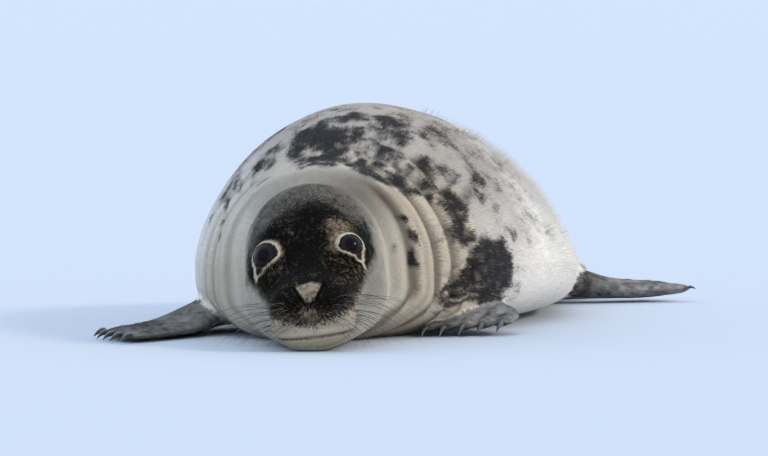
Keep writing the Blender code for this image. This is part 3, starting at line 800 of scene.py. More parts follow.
# Where mottles crowd together: the same five numbers, each a wide cloud of them.
MOTTLED = (
    (0.330, -2, 0.110, 26, 0.68), (0.300, 35, 0.080, 22, 0.58), (0.430, 12, 0.110, 28, 0.56),
    (0.540, 26, 0.220, 42, 0.40), (0.560, -24, 0.240, 36, 0.40), (0.340, 62, 0.075, 18, 0.54),
    (0.330, -45, 0.130, 22, 0.32), (0.640, 62, 0.200, 28, 0.32), (0.650, -66, 0.240, 30, 0.34),
    (0.880, 0, 0.200, 60, 0.38), (0.420, 95, 0.060, 16, 0.40), (0.410, 52, 0.080, 22, 0.44),
)
# Pale ridges of skin across the dark shoulder: (degrees, how steeply they climb forwards).
SHOULDER_RIDGES = ((89.0, 105.0), (96.0, 90.0), (101.5, 70.0), (107.0, 60.0))


def linear(*srgb):
    """A colour as light, from the 0 to 255 values that a painter's chart gives."""
    value = np.array(srgb) / 255
    return np.where(value <= 0.04045, value / 12.92, ((value + 0.055) / 1.055) ** 2.4)


CHARCOAL = linear(27, 26, 27)
UMBER = linear(42, 36, 30)
BACK_GREY = linear(164, 154, 142)
FLANK_CREAM = linear(220, 212, 201)
NECK_BEIGE = linear(196, 184, 164)
NECK_SHADE = linear(182, 166, 142)
CHEEK_BEIGE = linear(186, 176, 159)
FACE_BLACK = linear(8, 7, 5)
TAN = linear(156, 134, 106)
EYE_RING = linear(206, 186, 158)
FROST = linear(192, 180, 161)
NOSE_SKIN = linear(120, 104, 84)
LIP_BEIGE = linear(176, 161, 138)
FLIPPER_DARK = linear(52, 50, 50)
FLIPPER_PALE = linear(178, 172, 163)


def mixed(low, high, share):
    """Colours between two, by a share for every point."""
    return low + (high - low) * np.asarray(share)[..., None]


def mottling(points, s, degrees, stray):
    """How dark the coat of the body is: 0 pale to 1 charcoal, with ragged, streaky edges."""
    girth = np.maximum(along(HALF_WIDTH, s), 0.05)
    # Each lock takes its tone from a little way off, so every edge is a mingling of hairs.
    s = s + 0.0060 * stray * noise(points, 900, 71)
    degrees = degrees + np.degrees(0.0035 * stray * noise(points, 900, 72) / girth)
    warped_s = s + 0.009 * rough(points, 40, 11)
    warped = degrees + np.degrees(0.009 * rough(points, 40, 15) / girth)
    solid = np.zeros(len(s))
    for middle_s, middle, half_s, half, strength in SADDLE + SPOTS + SHOULDER:
        reach = np.hypot((warped_s - middle_s) / half_s, (warped - middle) / half)
        solid = np.maximum(solid, strength * fall(0.45, 1.35, reach))
    crowd = np.zeros(len(s))
    for middle_s, middle, half_s, half, strength in MOTTLED:
        reach = ((s - middle_s) / half_s) ** 2 + ((degrees - middle) / half) ** 2
        crowd = np.maximum(crowd, strength * np.exp(-0.8 * reach))
    body = ease(0.205, 0.245, s)
    crowd = crowd * body
    solid = solid * ease(0.190, 0.215, s)
    density = 1 - (1 - np.clip(solid, 0, 1.1)) * (1 - crowd)
    arc = np.radians(degrees) * girth
    streaky = np.stack([0.40 * (s + 0.25 * arc), arc, 0.4 * points[:, 2]], -1)
    mottle = 2.2 * rough(streaky, 62, 21, 4) * ease(-0.10, 0.35, density)
    fine = 2.2 * rough(streaky, 240, 25, 2) * ease(-0.05, 0.40, density)
    contrast = 0.32 - 0.14 * ease(0.42, 0.55, s) - 0.16 * ease(0.5, 0.9, density)
    level = density + contrast * mottle + 0.10 * fine
    dark = 0.98 * ease(0.02, 1.00, level) ** 1.15
    for line, climb in SHOULDER_RIDGES:
        off = warped - line + climb * (warped_s - 0.385)
        ridge = hump(off, 1.3) * ease(0.275, 0.300, s) * fall(0.350, 0.378, s)
        dark = dark * (1 - 0.55 * ridge)
    return dark


# Tan patches of the face: (side or 0 for both, middle as s, out, up, its reach, how much tan).
TAN_PLACES = (
    (1, (0.098, 0.034, 0.119), 0.017, 0.60), (-1, (0.104, 0.023, 0.127), 0.010, 0.26),
    (1, (0.078, 0.044, 0.077), 0.014, 0.26), (-1, (0.072, 0.036, 0.084), 0.012, 0.20),
    (1, (0.064, 0.020, 0.094), 0.010, 0.10), (0, (0.006, 0.000, 0.040), 0.011, 0.22),
    (0, (0.012, 0.030, 0.034), 0.012, 0.10),
)
# The edge of the dark mask, in degrees from the middle of the head, on the left and the right.
MASK_EDGE = {
    1: ((0.0, 215), (0.014, 215), (0.026, 100), (0.058, 91), (0.070, 84), (0.085, 78),
        (0.107, 76), (0.130, 66), (0.150, 53), (0.175, 34), (0.20, 10)),
    -1: ((0.0, 215), (0.014, 215), (0.024, 94), (0.055, 86), (0.077, 82), (0.110, 75),
         (0.130, 64), (0.150, 50), (0.175, 30), (0.20, 10)),
}


def face_colour(points, form, s, degrees, random):
    """Colours of the head: a near-black mask flecked with tan, and pale cheeks and chin."""
    out, up = form[:, 1], form[:, 2]
    turned = np.abs(degrees)
    cloud = rough(points, 60, 41)
    fine = rough(points, 820, 45, 2)
    grain = 0.50 * random + 1.1 * fine
    tan = 0.20 + 0.22 * cloud
    for side, centre, size, more in TAN_PLACES:
        for way in (side,) if side else (1, -1):
            reach = np.linalg.norm((form - np.array(centre) * [1, way, 1]) / size, axis=-1)
            tan = tan + more * np.exp(-(reach**2))
    middle = hump(out, 0.017) * ease(0.02, 0.04, s) * fall(0.105, 0.125, s)
    tan = np.clip(tan - 0.20 * middle, 0.03, 1)
    fleck = ease(-0.10, 0.90, grain + 1.9 * (tan - 0.33))
    colour = mixed(FACE_BLACK, TAN, fleck * (0.30 + 0.66 * tan))
    # The forehead and the crown are frosted with pale tips, more and more towards the neck.
    frost = 0.05 + 0.24 * ease(0.100, 0.124, s) + 0.36 * ease(0.130, 0.185, s)
    frost = frost + 0.24 * cloud + 0.36 * grain - 0.22 * ease(46, 60, degrees) * (s < 0.150)
    crown = mixed(FACE_BLACK, FROST * 0.62, np.clip(frost, 0, 1) ** 1.3)
    colour = mixed(colour, crown, ease(0.094, 0.116, s + 0.008 * cloud - 0.006 * (out > 0.01)))
    # Cheeks, throat and the roll of pale skin behind the crown.
    left, right = np.array(MASK_EDGE[1]).T, np.array(MASK_EDGE[-1]).T
    edge = np.where(degrees > 0, np.interp(s, *left), np.interp(s, *right))
    soft = 7 + 14 * ease(0.11, 0.16, s)
    pale = ease(-1, 1, (turned - edge + 6 * cloud + 6 * grain) / soft)
    shaded = (0.22 + 0.22 * ease(-30, 30, degrees)) * fall(6, 62, turned - edge)
    cheek = CHEEK_BEIGE * ((0.94 + 0.10 * grain) * (1 - shaded * (1 + 0.5 * cloud)))[:, None]
    colour = mixed(colour, cheek, pale)
    # Painted shade in the opening of the ear.
    slit = np.hypot((s - EAR[0]) / 0.0042, (up - EAR[1]) / 0.0075)
    colour = mixed(colour, FACE_BLACK, 0.9 * fall(0.5, 1.0, slit) * (turned > 30))
    # The lips and the chin are pale, with dark flecks thinning out from the mask.
    drop = up - along(MOUTH_LINE, s) - 0.0075 * np.clip(np.abs(out) / 0.040, 0, 1.1) ** 2
    lip = fall(0.008, 0.030, drop + 0.006 * cloud) * (s < 0.085)
    speck = ease(-0.25, 0.75, grain + 1.7 * (ease(0.000, 0.022, drop) - 0.60))
    chin = mixed(LIP_BEIGE * (0.92 + 0.16 * cloud)[:, None], FACE_BLACK * 2, speck)
    colour = mixed(colour, chin, np.clip(1.5 * lip, 0, 1) * (1 - pale))
    # Painted shade in the crease between the lips.
    gap = up - along(MOUTH_LINE, s) - 0.0004
    mouth = hump(gap, 0.0016) * fall(MOUTH_BACK - 0.01, MOUTH_BACK, s)
    return mixed(colour, UMBER * 0.30, 0.80 * mouth)


TEAR_LINE = ((0.0108, -0.0180), (0.0128, -0.0260))  # beside the eye: outwards, upwards
EYE_NOOK = {1: 0.0066, -1: 0.0086}  # how far the damp corner of each eye runs on past its lids


def eye_nook(turn, side):
    """How far the damp, bare corner reaches beyond the lids in each direction round the eye."""
    return EYE_NOOK[side] * hump(np.degrees(turn) + 58, 16)


HALO_REACH = {1: 0.0130, -1: 0.0085}  # how far the tan hair above each eye reaches
# Painted shade down in the neck's creases: (s of the crease, how dark).
PAINTED_CREASE_SHADE = ((0.198, 0.5), (0.2235, 1.0), (0.248, 0.35), (0.273, 1.0), (0.310, 0.9), (0.348, 0.6))
# How much paler each flipper's root is: body, fore right, fore left, hind left, hind right, tail.
LIMB_ROOT_TONE = (0, 0.16, -0.10, -0.38, -0.38, 0)


def coat_colour(points, layout, form, part, random, stray):
    """The colour of the coat at points whose place on the body is given."""
    s = layout[:, 0]
    angle = np.arctan2(layout[:, 2], layout[:, 1])
    degrees = np.degrees(angle)
    turned = np.abs(degrees)
    soft = rough(points, 16, 51)
    fine = rough(points, 170, 55, 2)
    arc = angle * np.maximum(along(HALF_WIDTH, s), 0.05)
    clump = rough(np.stack([0.30 * s, arc, 0.3 * points[:, 2]], -1), 420, 57, 2)
    face = face_colour(points, form, s, degrees, random)
    random = 0.50 * random + 0.60 * clump
    lower = 24 * fall(0.46, 0.62, s) * (degrees > 0)
    pale = mixed(BACK_GREY, FLANK_CREAM, ease(26, 84, turned - lower + 14 * soft))
    pale = mixed(pale, FLANK_CREAM, 0.5 * ease(0.55, 0.75, s))
    neck = fall(0.27, 0.36, s) * (0.45 + 0.55 * ease(40, 90, turned))
    pale = mixed(pale, NECK_BEIGE, neck)
    # The neck is greyer on its left, and shade is painted down in the crease of every fold.
    sector = ease(22, 58, degrees) * ease(0.195, 0.225, s) * fall(0.345, 0.400, s)
    pale = mixed(pale, NECK_SHADE, 0.85 * sector * (0.85 + 0.5 * soft))
    sagging = 0.022 * ease(95, 125, turned)
    crease_shade = np.zeros(len(s))
    # Painted shade in each crease, lower down on the sides where the folds sag.
    for at, depth in PAINTED_CREASE_SHADE:
        off = s - at + sagging + 0.003 * soft
        crease_shade = np.maximum(crease_shade, depth * hump(off, 0.0075))
    crease_shade = crease_shade * ease(18, 50, turned) * (0.45 + 0.55 * (degrees > 0))
    pale = mixed(pale, UMBER * 2.6, 0.80 * crease_shade)
    pale = pale * (1 + 0.06 * soft + 0.06 * fine + 0.07 * random)[:, None]
    dark = mottling(points, s, degrees, stray)
    dark = np.clip(dark + (0.20 * fine + 0.42 * random) * ease(0.0, 0.30, dark), 0, 1)
    dark = ease(0.06, 0.94, dark)
    warm = np.clip(ease(0.38, 0.55, s) + ease(45, 75, degrees), 0, 1) * fall(0.75, 1.0, dark)
    deep = mixed(CHARCOAL, UMBER, warm) * (1 + 0.5 * np.clip(random, 0, 1))[:, None]
    colour = mixed(pale, deep, 0.97 * dark)
    # Hair of the head gives way to the hair of the neck, with no edge over the crown.
    fade = ease(0.148, 0.215, s + 0.010 * soft + 0.012 * random)
    base = colour * (1 - 0.42 * fall(0.195, 0.235, s) * fall(24, 60, turned))[:, None]
    colour = mixed(face, base, fade)
    # Painted shade over the left of the roll behind the crown.
    roll_shade = hump(degrees - 40, 32) * ease(0.140, 0.165, s) * fall(0.222, 0.250, s)
    colour = colour * (1 - 0.46 * roll_shade * (1 + 0.5 * soft))[:, None]
    # The cream rings of hair round the eyes, with a line running down from the outer corner.
    near_face = 1.0 * (s < 0.16)
    for side in (1, -1):
        beyond, turn, p, q = round_eye(form, side)
        outside = beyond - eye_nook(turn, side)
        width = 0.0014 + 0.0014 * np.clip(np.sin(turn - 0.3), 0, 1) ** 2
        width = width + 0.0022 * np.clip(np.cos(turn), 0, 1)
        ragged = outside + 0.0007 * random + 0.0004 * fine
        halo = fall(0.003, HALO_REACH[side], outside) * np.clip(np.sin(turn - 0.6), 0, 1)
        flecked = ease(-0.3, 0.6, fine + 0.8 * random)
        colour = mixed(colour, TAN, 0.85 * halo * flecked * near_face)
        shade = ease(width + 0.001, width + 0.003, outside) * fall(0.007, 0.013, outside)
        colour = mixed(colour, FACE_BLACK, 0.70 * shade * (p > 0.004) * near_face * (turned < 100))
        tear = to_line(p, q, *TEAR_LINE) + 0.0004 * random
        ring = fall(width, width + 0.0016, ragged) * (beyond > -0.003)
        ring = np.maximum(ring, fall(0.0005, 0.0020, tear) * (beyond < 0.03))
        cream = EYE_RING * (0.90 + 0.16 * random)[:, None]
        colour = mixed(colour, cream, np.clip((0.84 + 0.2 * fine) * ring, 0, 1) * near_face)
        damp = fall(-0.0008, 0.0004, outside) * (beyond > -0.002) * (beyond < 0.012)
        colour = mixed(colour, FACE_BLACK, 0.97 * damp * near_face)
    # The bare nose: painted light on its top and painted shade underneath, broken by blotches of its
    # own.
    blots = 1.8 * rough(points, 300, 61)
    lower = blots + 55 * (0.0625 - form[:, 2])
    nose_light_and_shade = mixed(NOSE_SKIN * 1.30, NOSE_SKIN * 0.20, ease(-0.55, 0.65, lower))
    # Painted shade in the nostril slits.
    slit = to_line(np.abs(form[:, 1]), form[:, 2], *NOSTRIL) + 0.0006 * blots
    nose_light_and_shade = mixed(nose_light_and_shade, FACE_BLACK, fall(0.0012, 0.0030, slit))
    colour = mixed(colour, nose_light_and_shade, nose_pad(form) * (s < 0.05))
    # Flippers: dark at the root and along the digits, frosted between them.
    a, across = layout[:, 0], layout[:, 1]
    toes = digit_ridge(across)
    tone = 0.46 + 0.4 * soft + 0.40 * fine + 0.34 * random - 0.16 * toes * ease(0.5, 0.8, a)
    start = np.array(LIMB_ROOT_TONE)[part]
    tone = tone + start * fall(0.30, 0.62, a) - 0.25 * ease(0.95, 1.0, a)
    tone = tone + 0.22 * ease(0.45, 0.80, a) * (part > 2)
    limb = mixed(FLIPPER_DARK, FLIPPER_PALE, np.clip(tone, 0, 1))
    on_limb = (part >= 1) & (part <= 4)
    shoulder = ((part == 1) | (part == 2)) & (a < 0.45)
    limb = np.where(shoulder[:, None], mixed(CHARCOAL, limb, ease(0.2, 0.45, a)), limb)
    return np.where(on_limb[:, None], limb, colour)


# --- The skin's finish ----------------------------------------------------------------------------
# The skin carries the coat's colours and the lie of its hair: back along the body, out from the
# nose and the eyes, and down the digits. It is matt, but for a film of wet on the nose.


def add_attribute(mesh, name, kind, values, domain="POINT"):
    """Stores values on a mesh. A colour is given without its alpha."""
    if kind == "FLOAT_COLOR":
        values = np.concatenate([values, np.ones((len(values), 1))], -1)
    key = {"FLOAT": "value", "INT": "value", "FLOAT_COLOR": "color"}.get(kind, "vector")
    flat = np.ascontiguousarray(values, np.int32 if kind == "INT" else np.float32).reshape(-1)
    mesh.attributes.new(name, kind, domain).data.foreach_set(key, flat)


outward_normal = np.empty(len(mesh.vertices) * 3, np.float32)
mesh.vertex_normals.foreach_get("vector", outward_normal)
outward_normal = outward_normal.reshape(-1, 3).astype(float)

# The lie of the hair.
turn_there = np.interp(place[:, 0], SPINE_S, SPINE_TURN)
lie = np.stack([np.sin(turn_there), np.cos(turn_there), np.zeros(len(where))], -1)
spread = fall(0.02, 0.10, place_form[:, 0]) * on_body
aside = np.stack([np.cos(turn_there), -np.sin(turn_there), np.zeros(len(where))], -1)
lie += aside * (place_form[:, 1] * spread / 0.030)[:, None]
lie[:, 2] += (place_form[:, 2] - 0.062) * spread / 0.030
lie[:, 2] -= 0.25 * on_body * ease(0.05, 0.3, place[:, 0]) * np.abs(np.sin(angle_there))
for side in (1, -1):
    beyond, turn, p, q = round_eye(place_form, side)
    outward, upward = eye_axes(side)[1:]
    away = np.cos(turn)[:, None] * outward + np.sin(turn)[:, None] * upward
    lifted = placed(*(place_form + 0.001 * away).T) - placed(*place_form.T)
    near = fall(0.002, 0.009, beyond) * on_body
    lie += lifted / 0.001 * 1.6 * near[:, None]
for number, form in enumerate(FORMS.values(), 1):
    chosen = region == number
    lie[chosen] = form.frame(np.clip(place[chosen, 0], 0.02, 0.97))[0]
lie -= (lie * outward_normal).sum(-1, keepdims=True) * outward_normal
lie /= np.maximum(np.linalg.norm(lie, axis=-1, keepdims=True), 1e-9)

colour = coat_colour(where, body_map, place_form, region, np.zeros(len(where)), 0)
for name, kind, values in (
    ("body_map", "FLOAT_VECTOR", body_map), ("body_form", "FLOAT_VECTOR", place_form),
    ("region", "INT", region), ("lie", "FLOAT_VECTOR", lie), ("coat_colour", "FLOAT_COLOR", colour),
    ("moist", "FLOAT", nose_pad(place_form) * on_body),
):
    add_attribute(mesh, name, kind, values)


def feed(tree, made, inputs):
    """Sets a node's inputs to values, or links them from other nodes' outputs."""
    for key, value in inputs.items():
        if isinstance(value, bpy.types.NodeSocket):
            tree.links.new(value, made.inputs[key])
        else:
            made.inputs[key].default_value = value


def node(tree, kind, inputs=None, **settings):
    """A node with its settings and inputs made, laid out in rows of eight."""
    made = tree.nodes.new(kind)
    row, column = divmod(len(tree.nodes), 8)
    made.location = (240 * column, -320 * row)
    for key, value in settings.items():
        setattr(made, key, value)
    feed(tree, made, inputs or {})
    return made


def add_sockets(tree, way, sockets):
    """Gives a node group its named inputs or outputs, from rows of (name, kind)."""
    for label, kind in sockets:
        tree.interface.new_socket(label, in_out=way, socket_type="NodeSocket" + kind)


def grain_group():
    """Fine grain that every material of the seal shares: an uneven colour, and a height."""
    group = bpy.data.node_groups.new("Fine grain", "ShaderNodeTree")
    add_sockets(group, "INPUT", (("Colour", "Color"), ("Strength", "Float"), ("Scale", "Float")))
    add_sockets(group, "OUTPUT", (("Colour", "Color"), ("Height", "Float")))
    given = node(group, "NodeGroupInput").outputs
    spot = node(group, "ShaderNodeTexCoord")
    cloud = node(
        group, "ShaderNodeTexNoise",
        {"Vector": spot.outputs["Object"], "Scale": given["Scale"], "Detail": 3.0},
    )
    centred = node(group, "ShaderNodeMath", {0: cloud.outputs["Fac"], 1: 0.5}, operation="SUBTRACT")
    gain = node(
        group, "ShaderNodeMath", {0: centred.outputs[0], 1: given["Strength"], 2: 1.0},
        operation="MULTIPLY_ADD",
    )
    shade = node(
        group, "ShaderNodeVectorMath", {0: given["Colour"], "Scale": gain.outputs[0]},
        operation="SCALE",
    )
    node(group, "NodeGroupOutput", {"Colour": shade.outputs[0], "Height": cloud.outputs["Fac"]})
    return group


GRAIN = grain_group()


def new_material(name, **sockets):
    """A material, its nodes and its shader, with constants set on the shader's own sockets."""
    made = bpy.data.materials.new(name)
    made.use_nodes = True
    tree = made.node_tree
    shader = tree.nodes["Principled BSDF"]
    feed(tree, shader, {key.replace("_", " "): value for key, value in sockets.items()})
    return made, tree, shader


def grained(tree, shader, colour, strength, scale, relief):
    """Feeds a colour with grain to a material's shader, and relief of the same grain."""
    grain = node(tree, "ShaderNodeGroup", node_tree=GRAIN)
    feed(tree, grain, {"Colour": colour, "Strength": strength, "Scale": scale})
    bump = node(
        tree, "ShaderNodeBump",
        {"Strength": 0.6, "Distance": relief, "Height": grain.outputs["Height"]},
    )
    feed(tree, shader, {"Base Color": grain.outputs["Colour"], "Normal": bump.outputs["Normal"]})


def coat_material(name, roughness, relief):
    """Coat colour from the markings, broken by hair grain."""
    made, tree, shader = new_material(name, Roughness=roughness, Specular_IOR_Level=0.03)
    colour = node(tree, "ShaderNodeAttribute", attribute_name="coat_colour")
    grained(tree, shader, colour.outputs["Color"], 0.7, 900.0, relief)
    return made, tree, shader


# The bare skin of the nose has a thin film of wet over it.
bare_skin, tree, shader = coat_material("short coat", 0.70, 0.0004)
moist = node(tree, "ShaderNodeAttribute", attribute_name="moist")
film = node(tree, "ShaderNodeMath", {0: moist.outputs["Fac"], 1: 0.35}, operation="MULTIPLY")
feed(tree, shader, {"Coat Weight": film.outputs[0], "Coat Roughness": 0.32})
mesh.materials.clear()
mesh.materials.append(bare_skin)
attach(skin, "root")
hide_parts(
    "head", "lower_jaw", "neck", "chest", "belly", "hindquarters", "tail",
    *("flipper_" + name for name in FORMS),
)


# --- The eyes -------------------------------------------------------------------------------------
# Large dark eyes, which see as well under water as above it: a wide black pupil, a thin brown
# iris and a wet, clear surface. The lids' bare rims close round them as dark, damp cords.

EYE_RINGS = 40
EYE_SIDES = 72
EYE_INSET = 0.0002  # how far the eyeball lies inside the solid eye
IRIS_REACH = 0.0165
RIM_RADIUS = 0.00045
RIM_POINTS = 120
RIM_HEIGHT = 0.0002  # how far the middle of the rim stands over the eyeball
OPEN_ANGLE = np.linspace(0, math.pi, EYE_RINGS + 1)[:, None]
EYE_TURN = (np.arange(EYE_SIDES) * 2 * math.pi / EYE_SIDES)[None]


def from_eye(side, ahead, aside, above):
    """World points given along an eye's line of sight, outwards from it, and upwards."""
    form = np.array(EYE_PLACE) * [1, side, 1]
    for distance, axis in zip((ahead, aside, above), eye_axes(side)):
        form = form + distance[..., None] * axis
    return placed(form[..., 0], form[..., 1], form[..., 2])


def eyeball(side):
    """A ball whose rings go round its line of sight."""
    bulge = 1 + 0.035 * hump(OPEN_ANGLE, 0.55)  # the clear front stands proud
    radius = (EYE_RADIUS - EYE_INSET) * bulge
    ahead = radius * np.cos(OPEN_ANGLE) + 0 * EYE_TURN
    wide = radius * np.sin(OPEN_ANGLE)
    ball = from_eye(side, ahead, wide * np.cos(EYE_TURN), wide * np.sin(EYE_TURN))
    return ball if side > 0 else ball[:, ::-1]


# Colours outwards from the middle of the pupil: (share of the ball's reach, colour).
EYE_COLOURS = (
    (0.0, (0.0012, 0.0011, 0.0012)), (0.38, (0.0014, 0.0012, 0.0014)),
    (0.46, (0.016, 0.011, 0.010)), (0.62, (0.024, 0.015, 0.013)),
    (0.72, (0.003, 0.003, 0.004)), (0.82, (0.016, 0.012, 0.014)), (1.0, (0.03, 0.022, 0.02)),
)


def eye_material():
    """A black pupil in a dark brown, streaked iris, under a clear wet surface."""
    made, tree, shader = new_material(
        "wet eye", Roughness=0.25, Specular_IOR_Level=0.04, Coat_Weight=0.16,
        Coat_Roughness=0.015, Coat_IOR=1.36,
    )
    reach = node(tree, "ShaderNodeAttribute", attribute_name="from_sight")
    turn = node(tree, "ShaderNodeAttribute", attribute_name="round_sight")
    strands = node(
        tree, "ShaderNodeTexNoise",
        {"Vector": turn.outputs["Vector"], "Scale": 9.0, "Detail": 4.0, "Roughness": 0.7},
    )
    ring = node(tree, "ShaderNodeValToRGB", {"Fac": reach.outputs["Fac"]})
    stops = ring.color_ramp.elements
    while len(stops) < len(EYE_COLOURS):
        stops.new(0.5)
    for stop, (share, colour) in zip(stops, EYE_COLOURS):
        stop.position = share
        stop.color = (*colour, 1)
    streaked = node(
        tree, "ShaderNodeMix", {0: 0.75, 6: ring.outputs["Color"], 7: strands.outputs["Color"]},
        data_type="RGBA", blend_type="MULTIPLY",
    )
    feed(tree, shader, {"Base Color": streaked.outputs[2]})
    return made


wet_eye = eye_material()
# How far each point lies from the line of sight, as a share, and its direction round it.
rows = OPEN_ANGLE[..., None] + np.zeros((1, EYE_SIDES, 1))
from_sight = closed_rings(np.sin(rows) + (rows > math.pi / 2) * 2)[:, 0]
from_sight = np.minimum(from_sight * EYE_RADIUS / IRIS_REACH, 1.0)
turn = EYE_TURN[..., None] + 0 * rows
round_sight = closed_rings(np.concatenate([np.cos(turn), np.sin(turn), 0 * turn], -1))
for side, name in ((1, "left"), (-1, "right")):
    rings = eyeball(side)
    eye = mesh_object("eyeball_" + name, closed_rings(rings), grid_faces(len(rings), EYE_SIDES))
    fix_facing(eye)
    add_attribute(eye.data, "from_sight", "FLOAT", from_sight)
    add_attribute(eye.data, "round_sight", "FLOAT_VECTOR", round_sight)
    eye.data.materials.append(wet_eye)
    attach(eye, "root")
    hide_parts("eye_" + name)


def tube(path, radii, sides, closed=False):
    """A round tube along a path, as (vertices, faces)."""
    path = np.asarray(path, float)
    forward = np.gradient(path, axis=0)
    if closed:
        forward = np.roll(path, -1, 0) - np.roll(path, 1, 0)
    forward /= np.linalg.norm(forward, axis=-1, keepdims=True)
    guide = np.array([0.0, 0.0, 1.0]) if abs(forward[0, 2]) < 0.9 else np.array([1.0, 0.0, 0.0])
    aside = np.cross(forward, guide)
    aside /= np.linalg.norm(aside, axis=-1, keepdims=True)
    up = np.cross(aside, forward)
    turn = np.arange(sides) * 2 * math.pi / sides
    ring = np.cos(turn)[None, :, None] * aside[:, None] + np.sin(turn)[None, :, None] * up[:, None]
    vertices = (path[:, None] + ring * np.broadcast_to(radii, len(path))[:, None, None]).reshape(-1, 3)
    count = len(path)
    faces = []
    for i in range(count if closed else count - 1):
        j = (i + 1) % count
        for k in range(sides):
            m = (k + 1) % sides
            faces.append((i * sides + k, i * sides + m, j * sides + m, j * sides + k))
    if not closed:
        faces.append(tuple(range(sides))[::-1])
        faces.append(tuple((count - 1) * sides + k for k in range(sides)))
    return vertices, faces


def plain_material(name, colour, roughness, coat, grain, grain_scale, relief):
    """A material whose colour varies a little over the surface, with fine relief."""
    made, tree, shader = new_material(
        name, Roughness=roughness, Coat_Weight=coat, Coat_Roughness=0.08
    )
    grained(tree, shader, (*colour, 1), 2 * grain, grain_scale, relief)
    return made


damp_rim = plain_material("damp lid", (0.006, 0.005, 0.005), 0.55, 0.0, 0.4, 700.0, 0.0002)
for side, name in ((1, "left"), (-1, "right")):
    turn = np.arange(RIM_POINTS) * 2 * math.pi / RIM_POINTS
    reach = lid_reach(turn, side)
    height = np.sqrt(EYE_RADIUS**2 - reach**2) + RIM_HEIGHT
    ring = from_eye(side, height, reach * np.cos(turn), reach * np.sin(turn))
    vertices, faces = tube(ring, RIM_RADIUS, 12, closed=True)
    rim = mesh_object("lid_rim_" + name, vertices, faces)
    fix_facing(rim)
    rim.data.materials.append(damp_rim)
    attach(rim, "root")


# --- The claws ------------------------------------------------------------------------------------
# Five dark horn claws on each flipper, on the upper edge of its digits. Each is a curved, tapered
# core of horn that grows from under the skin.

CLAW_SIDES = 14
CLAW_RINGS = 18
CLAWS = {"fore": (0.017, 0.0034), "hind": (0.008, 0.0020)}
CLAW_START = 0.0022
CLAW_RISE = 0.0014
CLAW_CLEARANCE = 0.0003
CLAW_CURVE = 0.35  # how far a claw's tip drops, as a share of its length


def claw_mesh(base, direction, length, radius):
    """A claw from its base: straight at first, then curving down to a blunt point."""
    sideways = np.cross([0.0, 0.0, 1.0], direction)
    sideways /= np.linalg.norm(sideways)
    upwards = np.cross(direction, sideways)
    share = np.linspace(-0.18, 1, CLAW_RINGS)
    path = base + direction * (CLAW_START + length * share)[:, None]
    path = path + upwards * (CLAW_RISE - CLAW_CURVE * length * np.clip(share, 0, 1) ** 2)[:, None]
    thick = radius * np.clip(1 - share, 0.0, 1) ** 0.7
    thick = np.where(share < 0, radius * 0.92, thick)
    vertices, faces = tube(path, np.maximum(thick, 0.00012), CLAW_SIDES)
    vertices[:, 2] = np.maximum(vertices[:, 2], CLAW_CLEARANCE)
    return vertices, faces


horn = plain_material("claw horn", (0.030, 0.026, 0.024), 0.34, 0.2, 0.5, 420.0, 0.0003)
for name, form in FORMS.items():
    length, radius = CLAWS[name.split("_")[0]]
    for number, (base, direction) in enumerate(form.claw_places(), 1):
        vertices, faces = claw_mesh(base + NOSE_TIP, direction, length, radius)
        label = f"{name}_{number}"
        claw = mesh_object("horn_" + label, vertices, faces)
        fix_facing(claw)
        claw.data.materials.append(horn)
        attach(claw, "root")
        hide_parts("claw_" + label)


# --- The coat -------------------------------------------------------------------------------------
# Short stiff hair that lies back along the body: fine on the face and the flippers, longer on the
# trunk. Every lock is a thin, flat wedge with its root under the skin and its tip standing clear.

# Bands of the coat, each one piece: (name, from s, to s).
BANDS = (
    ("face", 0.000, 0.112), ("crown", 0.112, 0.205), ("neck", 0.205, 0.300),
    ("shoulders", 0.300, 0.400), ("chest", 0.400, 0.510), ("back", 0.510, 0.640),
    ("belly", 0.640, 0.800), ("rump", 0.800, 1.200),
)
LIMB_BANDS = ("fore_flippers", "hind_flippers")
LOCKS_PER_AREA = (
    (0.0, 1.35e6), (0.10, 1.25e6), (0.16, 8.5e5), (0.24, 4.6e5), (0.35, 3.7e5), (1.2, 3.4e5),
)
LOCK_LENGTH = (
    (0.0, 0.0019), (0.10, 0.0024), (0.17, 0.0033), (0.26, 0.0046), (0.45, 0.0062), (1.2, 0.0070),
)
LIMB_LOCKS = 8.0e5
LIMB_LENGTH = 0.0042
LOCK_SHAPE = (0.15, 0.050)  # width and thickness, as shares of the length
LOCK_LIFT = 0.115  # how steeply a lock stands off the skin, as a slope
LOCK_BURY = 0.020  # how deep its root lies, as a share of its length
PATCH = 0.0030  # how wide a lock's own patch of the unwrap is
HAIR_CLEARANCE = 0.0003  # how far the hair under the body stays off the floor
WHOLE_LOCK = 4  # points in one lock

band = np.searchsorted([start for _, start, _ in BANDS], place[:, 0], "right") - 1
band = np.where(on_body, np.clip(band, 0, len(BANDS) - 1), len(BANDS) + (region > 2))
amount = np.where(on_body, along(LOCKS_PER_AREA, place[:, 0]), LIMB_LOCKS)
length = np.where(on_body, along(LOCK_LENGTH, place[:, 0]), LIMB_LENGTH)
bare = nose_pad(place_form)
shortened = np.full(len(where), 1.0)
for side in (1, -1):
    beyond, turn, p, q = round_eye(place_form, side)
    bare = np.maximum(bare, 1.0 * (beyond - eye_nook(turn, side) < 0.0004))
    by_eye = 0.45 + 0.55 * ease(0.002, 0.012, beyond)
    shortened = np.minimum(shortened, np.where(on_body, by_eye, 1))
lips = np.abs(place_form[:, 2] - along(MOUTH_LINE, place_form[:, 0]))
bare = np.maximum(bare, (lips < 0.0015) * (place_form[:, 0] < MOUTH_BACK) * on_body)
bare = np.maximum(bare, fall(0.0010, 0.0022, where[:, 2]))
bare[crossing] = 1
amount = amount * (1 - bare)
length = length * shortened
add_attribute(mesh, "lock_amount", "FLOAT", amount)
add_attribute(mesh, "lock_length", "FLOAT", length)
add_attribute(mesh, "band", "INT", band)


